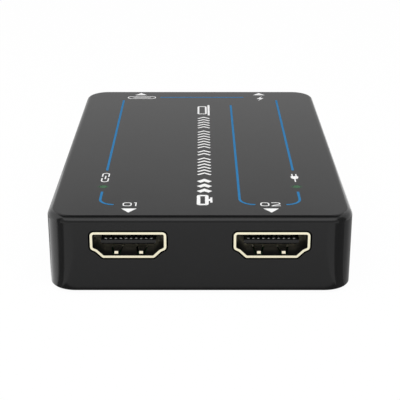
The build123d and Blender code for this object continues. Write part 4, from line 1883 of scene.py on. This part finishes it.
@dataclass
class LightWindows(Pair):
    """The clear rods that end in the top face, with the lamps under them.

    Args:
        lamp_base: How high a lamp's white base is.
    """

    names: tuple[str, str] = ("link", "power")
    lamp_base: float = 0.3 * MM

    def finishes(self) -> dict[str, Finish]:
        """Fits the finishes to the rods' upper ends and the lamps' bases.

        Returns:
            The finish of each piece, by the end of its node's name.
        """
        top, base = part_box("link_light_pipe")[1].z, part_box("link_lamp")[0].z
        # The frosted end's colour is the lamp's green glow, painted in.
        clear = ClearPlastic("clear_plastic", (0.01, 0.11, 0.03), 0.35, top=top)
        lamp = Layered(
            "lamp_body", (0.8, 0.8, 0.78), 0.5, upper=(0.25, 0.62, 0.3), split=base + self.lamp_base,
            metal_above=False, shine=0.15)
        return {"light_pipe": clear, "lamp": lamp}


@dataclass
class Chips:
    """The chips, in grainy black resin, some with bright legs that stand out.

    Args:
        resin: The resin's colour.
        roughness: The resin's roughness.
        legless: The nodes of the chips without legs.
        long_leg: How far the splitter's and the memory's legs stand out.
        short_leg: How far the regulators' legs stand out.
    """

    resin: Colour = (0.012, 0.012, 0.013)
    roughness: float = 0.6
    legless: tuple[str, ...] = ("capture_chip", "port_controller_chip", "power_chip", "surge_arrays")
    long_leg: float = 1.0 * MM
    short_leg: float = 0.6 * MM

    def body(self, node: str, legs_x: float, legs_y: float) -> tuple[float, float, float, float]:
        """Gives the middle and half sizes of a chip's body, which its legs stand out from.

        Args:
            node: The chip's node.
            legs_x: How far the legs stand out along x.
            legs_y: How far they stand out along y.

        Returns:
            The middle's x and y and the half sizes along x and y.
        """
        low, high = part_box(node)
        centre, half = (low + high) / 2, (high - low) / 2
        return centre.x, centre.y, half.x - legs_x, half.y - legs_y

    def dress(self) -> None:
        """Finishes the chips, with bright legs where they have any."""
        ChipPackage("chip_black", self.resin, self.roughness).put_on(*self.legless)
        for name, node, legs_x, legs_y in (
            ("splitter_resin", "splitter_chip", self.long_leg, self.long_leg),
            ("memory_resin", "memory_chip", 0.0, self.long_leg),
            ("regulator_resin", "regulator_chips", 0.0, self.short_leg),
        ):
            body = self.body(node, legs_x, legs_y)
            ChipPackage(name, self.resin, self.roughness, bodies=(body,)).put_on(node)


@dataclass
class SmallParts:
    """The board's parts that have a base, ends or a lid of another material, and the heat sink.

    Args:
        board: The height of the board's upper face.
        tin: The colour of soldered ends.
        wrap: How far such ends stand above a small part's body.
        coil_base: How high a coil's base is.
        crystal_base: How high a crystal's base is.
        can_base: How high a can's base is.
        can_half: Half the width of a can's base.
        can_pitch: How far apart the two cans on one side of the board are.
        lid: How far below its top a can counts as its lid.
    """

    board: float
    tin: Colour = (0.72, 0.71, 0.68)
    wrap: float = 0.025 * MM
    coil_base: float = 1.2 * MM
    crystal_base: float = 0.3 * MM
    can_base: float = 1.2 * MM
    can_half: float = 2.65 * MM
    can_pitch: float = 6.4 * MM
    lid: float = 0.05 * MM

    def dress_cans(self) -> None:
        """Finishes the round capacitors, two on the right and one on the left."""
        low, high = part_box("can_capacitors")
        left, right = low.x + self.can_half, high.x - self.can_half
        front = low.y + self.can_half
        cans = ((right, front), (right, front + self.can_pitch), (left, high.y - self.can_half))
        CanMetal("can_metal", (0.012, 0.012, 0.012), 0.5, upper=(0.72, 0.73, 0.74), shine=0.22, cans=cans,
                 split=self.board + self.can_base, lid=high.z - self.lid).put_on("can_capacitors")

    def dress(self) -> None:
        """Finishes all of them."""
        tinned = ("ceramic_capacitors", "chip_resistors")
        ceramic, glaze = (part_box(node)[1].z - self.wrap for node in tinned)
        coil, crystal = self.board + self.coil_base, self.board + self.crystal_base
        finishes = {
            "ceramic_capacitors": Layered(
                "capacitor_ceramic", (0.33, 0.2, 0.1), 0.55, upper=self.tin, split=ceramic),
            "chip_resistors": Layered(
                "resistor_glaze", (0.012, 0.012, 0.013), 0.4, upper=self.tin, split=glaze),
            "power_inductors": Layered(
                "ferrite", (0.03, 0.03, 0.032), 0.7, upper=(0.07, 0.07, 0.072), split=coil,
                metal_above=False, shine=0.6),
            "crystals": Layered(
                "crystal_lid", (0.3, 0.27, 0.2), 0.5, upper=(0.62, 0.6, 0.56), split=crystal),
            "thermal_pad": Layered(
                "thermal_pad", (0.32, 0.34, 0.36), 0.9, upper=(0.3, 0.32, 0.34), split=self.board,
                metal_above=False, shine=0.9),
            "heat_sink": SheetMetal(
                "sink_metal", (0.07, 0.07, 0.072), 0.42, line=0.05 * MM, tarnish=(0.11, 0.11, 0.112)),
        }
        for node, finish in finishes.items():
            finish.put_on(node)
        self.dress_cans()


@dataclass
class Board:
    """The circuit board, what stands on it, and the white outlines printed on it.

    Args:
        silk: The ink of the outlines.
        margin: How far an outline stays from its part and from the board's back edge.
        stroke: The width of an outline.
        dot: The radius of the dot at a part's first leg.
        dot_shift: How far the dot is from the outline's corner, to the left and to the front.
        film: How far the ink stands above the board and reaches into it.
        outlined: The nodes that have an outline.
    """

    silk: Ink = Ink("board_ink", (0.8, 0.8, 0.76), 0.6)
    margin: float = 0.45 * MM
    stroke: float = 0.15 * MM
    dot: float = 0.22 * MM
    dot_shift: Point = (0.5 * MM, 0.1 * MM)
    film: float = 0.02 * MM
    outlined: tuple[str, ...] = (
        "capture_chip", "splitter_chip", "port_controller_chip", "power_chip", "memory_chip",
        "data_port_shell", "power_port_shell")

    def outline(self, node: str) -> Mark:
        """Gives the outline round a part, with a dot at its first leg.

        Args:
            node: The part's node.

        Returns:
            The mark.
        """
        low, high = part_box(node)
        board_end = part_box("circuit_board")[1].y - self.margin
        left, right = low.x - self.margin, high.x + self.margin
        front, back = low.y - self.margin, min(high.y + self.margin, board_end)
        path = [(left, front), (right, front), (right, back), (left, back)]
        away, ahead = self.dot_shift
        dot = arc((left - away, front - ahead), self.dot, 0, 360 - COARSE_STEP, COARSE_STEP)
        return Mark(f"{node}_outline", [Stroke(path, self.stroke, closed=True), Patch(dot)])

    def build(self) -> None:
        """Finishes the board and its parts and prints the outlines."""
        low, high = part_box("circuit_board")
        mask = SolderMask("board_green", (0.008, 0.075, 0.028), 0.28, low=low.z, high=high.z)
        mask.put_on("circuit_board")
        Chips().dress()
        SmallParts(high.z).dress()
        for node in self.outlined:
            self.outline(node).print_on(high.z, self.silk, self.film, self.film)


@dataclass(frozen=True)
class Direction:
    """A direction from the object, as a studio plan gives it.

    Args:
        azimuth: Degrees from the front, growing to the left as the camera sees it.
        elevation: Degrees above the floor. Past 90 it leans over to the back.
    """

    azimuth: float
    elevation: float

    def vector(self) -> Vector:
        """Gives the direction as a vector of length 1.

        Returns:
            The vector.
        """
        turn, rise = math.radians(self.azimuth), math.radians(self.elevation)
        level = math.cos(rise)
        return Vector((-math.sin(turn) * level, -math.cos(turn) * level, math.sin(rise)))


@dataclass(frozen=True)
class SoftLamp:
    """A rectangular soft lamp that faces the object.

    Args:
        name: Its name.
        towards: Its direction from the object.
        distance: How far it is.
        width: Its width.
        height: Its height.
        glow: How bright its face looks, where 1 is white.
        mirrored: Whether shiny surfaces mirror it.
    """

    name: str
    towards: Direction
    distance: float
    width: float
    height: float
    glow: float
    mirrored: bool = True

    def build(self) -> None:
        """Hangs the lamp."""
        light = bpy.data.lights.new(self.name, "AREA")
        light.shape = "RECTANGLE"
        light.size, light.size_y = self.width, self.height
        light.energy = self.glow * math.pi * self.width * self.height
        lamp = put_in_scene(self.name, light)
        away = self.towards.vector()
        lamp.location = away * self.distance
        lamp.rotation_euler = away.to_track_quat("Z", "Y").to_euler()
        lamp.visible_glossy = self.mirrored
        log.info("%s hangs %.2f m away", self.name, self.distance)


class SeenBy(Enum):
    """Which rays meet a card."""

    ALL_BUT_CAMERA = "light and reflections"
    REFLECTIONS = "reflections alone"


def lay_sheet(name: str, corners: Iterable[Place], finish: Finish) -> bpy.types.Object:
    """Adds one flat face that isn't part of the object.

    Args:
        name: Its name.
        corners: Its corners, in order.
        finish: Its surface.

    Returns:
        Its object.
    """
    points = list(corners)
    data = bpy.data.meshes.new(name)
    data.from_pydata(points, [], [tuple(range(len(points)))])
    data.materials.append(finish.material())
    sheet = put_in_scene(name, data)
    return sheet


@dataclass(frozen=True)
class Flag:
    """A card out of the camera's sight that shapes what the satin plastic mirrors.

    Args:
        name: Its name.
        corners: Its corners, in order.
        finish: Its surface.
        seen_by: Which rays meet it.
    """

    name: str
    corners: Sequence[Place]
    finish: Card
    seen_by: SeenBy = SeenBy.REFLECTIONS

    def build(self) -> None:
        """Sets the card up."""
        card = lay_sheet(self.name, self.corners, self.finish)
        card.visible_camera = False
        card.visible_transmission = False
        if self.seen_by is SeenBy.REFLECTIONS:
            card.visible_diffuse = False
            card.visible_shadow = False
        log.info("%s is seen by %s", self.name, self.seen_by.value)


@dataclass(frozen=True)
class Floor:
    """The pale floor that the object stands on.

    Args:
        half: Half its width.
        grey: Its colour.
        roughness: Its roughness.
    """

    half: float = 4.0
    grey: Colour = (0.92, 0.92, 0.92)
    roughness: float = 0.5

    def build(self) -> None:
        """Lays the floor."""
        high = cad_box[1]
        finish = PaleFloor("pale_floor", self.grey, self.roughness, footprint=(high.x, high.y))
        signs = ((-1, -1), (1, -1), (1, 1), (-1, 1))
        lay_sheet("floor", ((across * self.half, along * self.half, 0) for across, along in signs), finish)


@dataclass(frozen=True)
class Surround:
    """The white surround, which lights the object from all sides.

    Args:
        glow: Its brightness.
        horizon: Between which elevations, in degrees, it grows to that brightness.
        share: The share of it that shows near the horizon.
    """

    glow: float = 0.65
    horizon: Point = (17, 22)
    share: float = 0.935

    def build(self) -> None:
        """Makes the surround the scene's world."""
        world = bpy.data.worlds.new("white_surround")
        world.use_nodes = True
        tree = world.node_tree
        background = tree.nodes["Background"]
        background.inputs["Color"].default_value = (*WHITE, 1.0)
        way = tree.nodes.new("ShaderNodeTexCoord").outputs["Generated"]
        rise = tree.nodes.new("ShaderNodeSeparateXYZ")
        glow = tree.nodes.new("ShaderNodeMapRange")
        start, end = (math.sin(math.radians(angle)) for angle in self.horizon)
        spans = {"From Min": start, "From Max": end, "To Min": self.glow * self.share, "To Max": self.glow}
        for name, value in spans.items():
            glow.inputs[name].default_value = value
        tree.links.new(way, rise.inputs[0])
        tree.links.new(rise.outputs["Z"], glow.inputs["Value"])
        tree.links.new(glow.outputs["Result"], background.inputs["Strength"])
        bpy.context.scene.world = world


class Glow(Enum):
    """How bright a studio card looks, where 1 is white."""

    DIM = 0.2
    GREY = 0.45
    PALE = 1.2
    BRIGHT = 1.5

    def card(self) -> Card:
        """Gives the finish of a card that is this bright all over."""
        return Card(f"{self.name.lower()}_card", glow=self.value)


@dataclass(frozen=True)
class Fan:
    """The plan of a card that fans out from one front corner of the case.

    Args:
        name: The card's name.
        side: The corner's side.
        span: The directions of its sides, in degrees from the front to the corner's own side.
        glow: How bright it looks.
    """

    name: str
    side: Side
    span: Point
    glow: Glow


@dataclass(frozen=True)
class Reflections:
    """The cards that shape what the satin plastic mirrors.

    Args:
        roof_height: The height of the card overhead.
        roof_span: Where the card overhead starts and ends, as elevations from the front in degrees.
        roof_halves: Half its width at its start and at its end.
        roof_shoulder: The y at which it starts and stops narrowing.
        lift: How far the fanned cards lie above the floor.
        reach: How far the fanned cards reach from the case's corners.
        corner: How far the case's rounded corners reach in from its sides.
        foot_shade: The glow that the front wall mirrors low down.
        foot_full: The glow that it mirrors higher up.
        foot_shadow: How far the dark shadow at the front wall's foot reaches.
        fans: The cards that lie on the floor at the front corners.
        uprights: The cards that stand where such cards would end.
        upright_height: How high those cards stand.
        wall_height: How high the cards parallel to the case's sides stand.
        wall_starts: The directions of the left and the right one's front end.
        left_wall: The left one's surface, which is brightest in front.
        side_reach: How far the cards along the sides reach sideways, and past the back.
        side_fade: The y at which those cards start to brighten, and at which they have their full glow.
    """

    roof_height: float = 0.5
    roof_span: Point = (92, 153)
    roof_halves: Point = (0.65, 0.16)
    roof_shoulder: Point = (0.2, 0.3)
    lift: float = 0.1 * MM
    reach: float = 45 * MM
    corner: float = 3 * MM
    foot_shade: float = 0.66
    foot_full: float = 0.97
    foot_shadow: float = 2.8 * MM
    fans: tuple[Fan, ...] = (
        Fan("left_dark_card", Side.LEFT, (43, 72), Glow.DIM),
        Fan("right_dark_card", Side.RIGHT, (36, 86), Glow.DIM),
        Fan("left_bright_card", Side.LEFT, (78, 140), Glow.BRIGHT),
        Fan("right_grey_card", Side.RIGHT, (88, 145), Glow.GREY),
    )
    uprights: tuple[Fan, ...] = (
        Fan("left_dark_upright", Side.LEFT, (59, 72), Glow.DIM),
        Fan("right_dark_upright", Side.RIGHT, (52, 88), Glow.DIM),
    )
    upright_height: float = 55 * MM
    wall_height: float = 90 * MM
    wall_starts: Point = (75, 90)
    left_wall: Card = ShadedCard("fading_card", glow=2.0, near=0.0, far=-40 * MM, shade=1.2)
    side_reach: Point = (120 * MM, 250 * MM)
    side_fade: Point = (-15 * MM, 30 * MM)

    def root(self, side: Side) -> Point:
        """Gives the point inside a front corner of the case from which its cards fan out."""
        low, high = cad_box
        return side * (high.x - self.corner), low.y + self.corner

    def roof_card(self) -> Flag:
        """Gives the card overhead, which darkens the case's top edge.

        Returns:
            The card.
        """
        near, far = (-self.roof_height / math.tan(math.radians(angle)) for angle in self.roof_span)
        wide, narrow = self.roof_halves
        start, end = self.roof_shoulder
        right = [(wide, near), (wide, start), (narrow, end), (narrow, far)]
        left = [(-x, y) for x, y in reversed(right)]
        corners = [(*point, self.roof_height) for point in right + left]
        return Flag("roof_card", corners, Card("black_card"), SeenBy.ALL_BUT_CAMERA)

    def shaded(self, near: Point, far: Point, finish: ShadedCard) -> Flag:
        """Gives a card on the floor, under the fanned ones, between two opposite corners."""
        corners = (near, (far[0], near[1]), far, (near[0], far[1]))
        return Flag(finish.name, [(*corner, self.lift / 2) for corner in corners], finish)

    def front_card(self) -> Flag:
        """Gives the card on the floor in front, which shades the foot of the front wall.

        Returns:
            The card.
        """
        low, high = cad_box
        near, far = low.y - self.lift, low.y - self.reach
        finish = ShadedCard("front_card", glow=self.foot_full, near=near, far=far,
                            shade=self.foot_shade, foot=self.foot_shadow)
        return self.shaded((low.x, near), (high.x, far), finish)

    def lying(self, fan: Fan) -> Flag:
        """Gives a fanned card that lies on the floor.

        Args:
            fan: Its plan.

        Returns:
            The card.
        """
        x, y = self.root(fan.side)
        rim = arc((0.0, 0.0), self.reach, *fan.span)
        points = [(x, y), *((x + fan.side * across, y - ahead) for ahead, across in rim)]
        return Flag(fan.name, [(*point, self.lift) for point in points], fan.glow.card())

    def upright(self, fan: Fan) -> Flag:
        """Gives a card that stands on the floor where a fanned card would end.

        Args:
            fan: Its plan.

        Returns:
            The card.
        """
        x, y = self.root(fan.side)
        ends = arc((0.0, 0.0), self.reach, *fan.span, step=180)
        start, end = ((x + fan.side * across, y - ahead) for ahead, across in ends)
        top = self.upright_height
        return Flag(fan.name, [(*start, 0), (*end, 0), (*end, top), (*start, top)], fan.glow.card())

    def side_wall(self, name: str, side: Side, start: float, finish: Card) -> Flag:
        """Gives a card that stands on the floor along one side of the case.

        Args:
            name: Its name.
            side: The side.
            start: The direction of its front end, as for the fanned cards.
            finish: Its surface.

        Returns:
            The card.
        """
        root_x, root_y = self.root(side)
        turn = math.radians(start)
        x = root_x + side * self.reach * math.sin(turn)
        front, back = root_y - self.reach * math.cos(turn), cad_box[1].y + self.reach
        top = self.wall_height
        return Flag(name, [(x, front, 0), (x, back, 0), (x, back, top), (x, front, top)], finish)

    def side_card(self, name: str, side: Side, glow: Glow) -> Flag:
        """Gives a card that lies along one side of the case.

        Args:
            name: Its name.
            side: The side.
            glow: How bright it is behind. It is dim beside the front corner.

        Returns:
            The card.
        """
        high = cad_box[1]
        sideways, backwards = self.side_reach
        start, end = self.side_fade
        finish = ShadedCard(name, glow=glow.value, near=start, far=end, shade=Glow.DIM.value)
        return self.shaded(self.root(side), (side * (high.x + sideways), high.y + backwards), finish)

    def build(self) -> None:
        """Sets the cards up."""
        left_start, right_start = self.wall_starts
        for card in (
            self.roof_card(),
            self.front_card(),
            *(self.lying(fan) for fan in self.fans),
            *(self.upright(fan) for fan in self.uprights),
            self.side_wall("left_bright_upright", Side.LEFT, left_start, self.left_wall),
            self.side_wall("right_pale_upright", Side.RIGHT, right_start, Glow.PALE.card()),
            self.side_card("left_side_card", Side.LEFT, Glow.GREY),
            self.side_card("right_side_card", Side.RIGHT, Glow.BRIGHT),
        ):
            card.build()


@dataclass(frozen=True)
class Studio:
    """A pale floor, a white surround, two soft lamps and the cards that the plastic mirrors.

    Args:
        floor: The floor.
        surround: The surround.
        lamps: The soft lamp above the camera and the one overhead.
        reflections: The cards.
    """

    floor: Floor = Floor()
    surround: Surround = Surround()
    lamps: tuple[SoftLamp, ...] = (
        SoftLamp("front_lamp", Direction(0, 53), 0.5, 0.8, 0.36, 1.7),
        SoftLamp("top_lamp", Direction(0, 90), 0.45, 0.4, 0.4, 1.0, mirrored=False),
    )
    reflections: Reflections = Reflections()

    def build(self) -> None:
        """Sets the studio up."""
        for part in (self.floor, self.surround, *self.lamps, self.reflections):
            part.build()


@dataclass(frozen=True)
class Viewpoint:
    """The camera.

    Args:
        place: Where it stands.
        pitch: How far it looks down, in degrees.
        lens: Its focal length in millimetres, for a frame of the sensor's width.
        sensor: The sensor's width in millimetres.
        sight: From how near to how far it sees.
    """

    place: Place = (0.0, -234.8 * MM, 95.01 * MM)
    pitch: float = 21.54
    lens: float = 95.39
    sensor: float = 36.0
    sight: Point = (0.01, 20.0)

    def build(self) -> None:
        """Sets the camera up and makes it the scene's own."""
        data = bpy.data.cameras.new("camera")
        data.lens, data.sensor_width = self.lens, self.sensor
        data.clip_start, data.clip_end = self.sight
        camera = put_in_scene("camera", data)
        camera.location = self.place
        camera.rotation_euler = (math.radians(90 - self.pitch), 0, 0)
        bpy.context.scene.camera = camera


def main() -> None:
    """Builds and dresses the converter and its studio."""
    logging.basicConfig(level=logging.INFO, format="%(message)s")
    bpy.context.scene.view_settings.view_transform = "Standard"
    Viewpoint().build()
    Studio().build()
    Case().dress()
    VideoSockets().dress()
    RearPorts().dress()
    LightWindows().dress()
    Board().build()
    TopPrint().build()


if __name__ == "__main__":
    main()
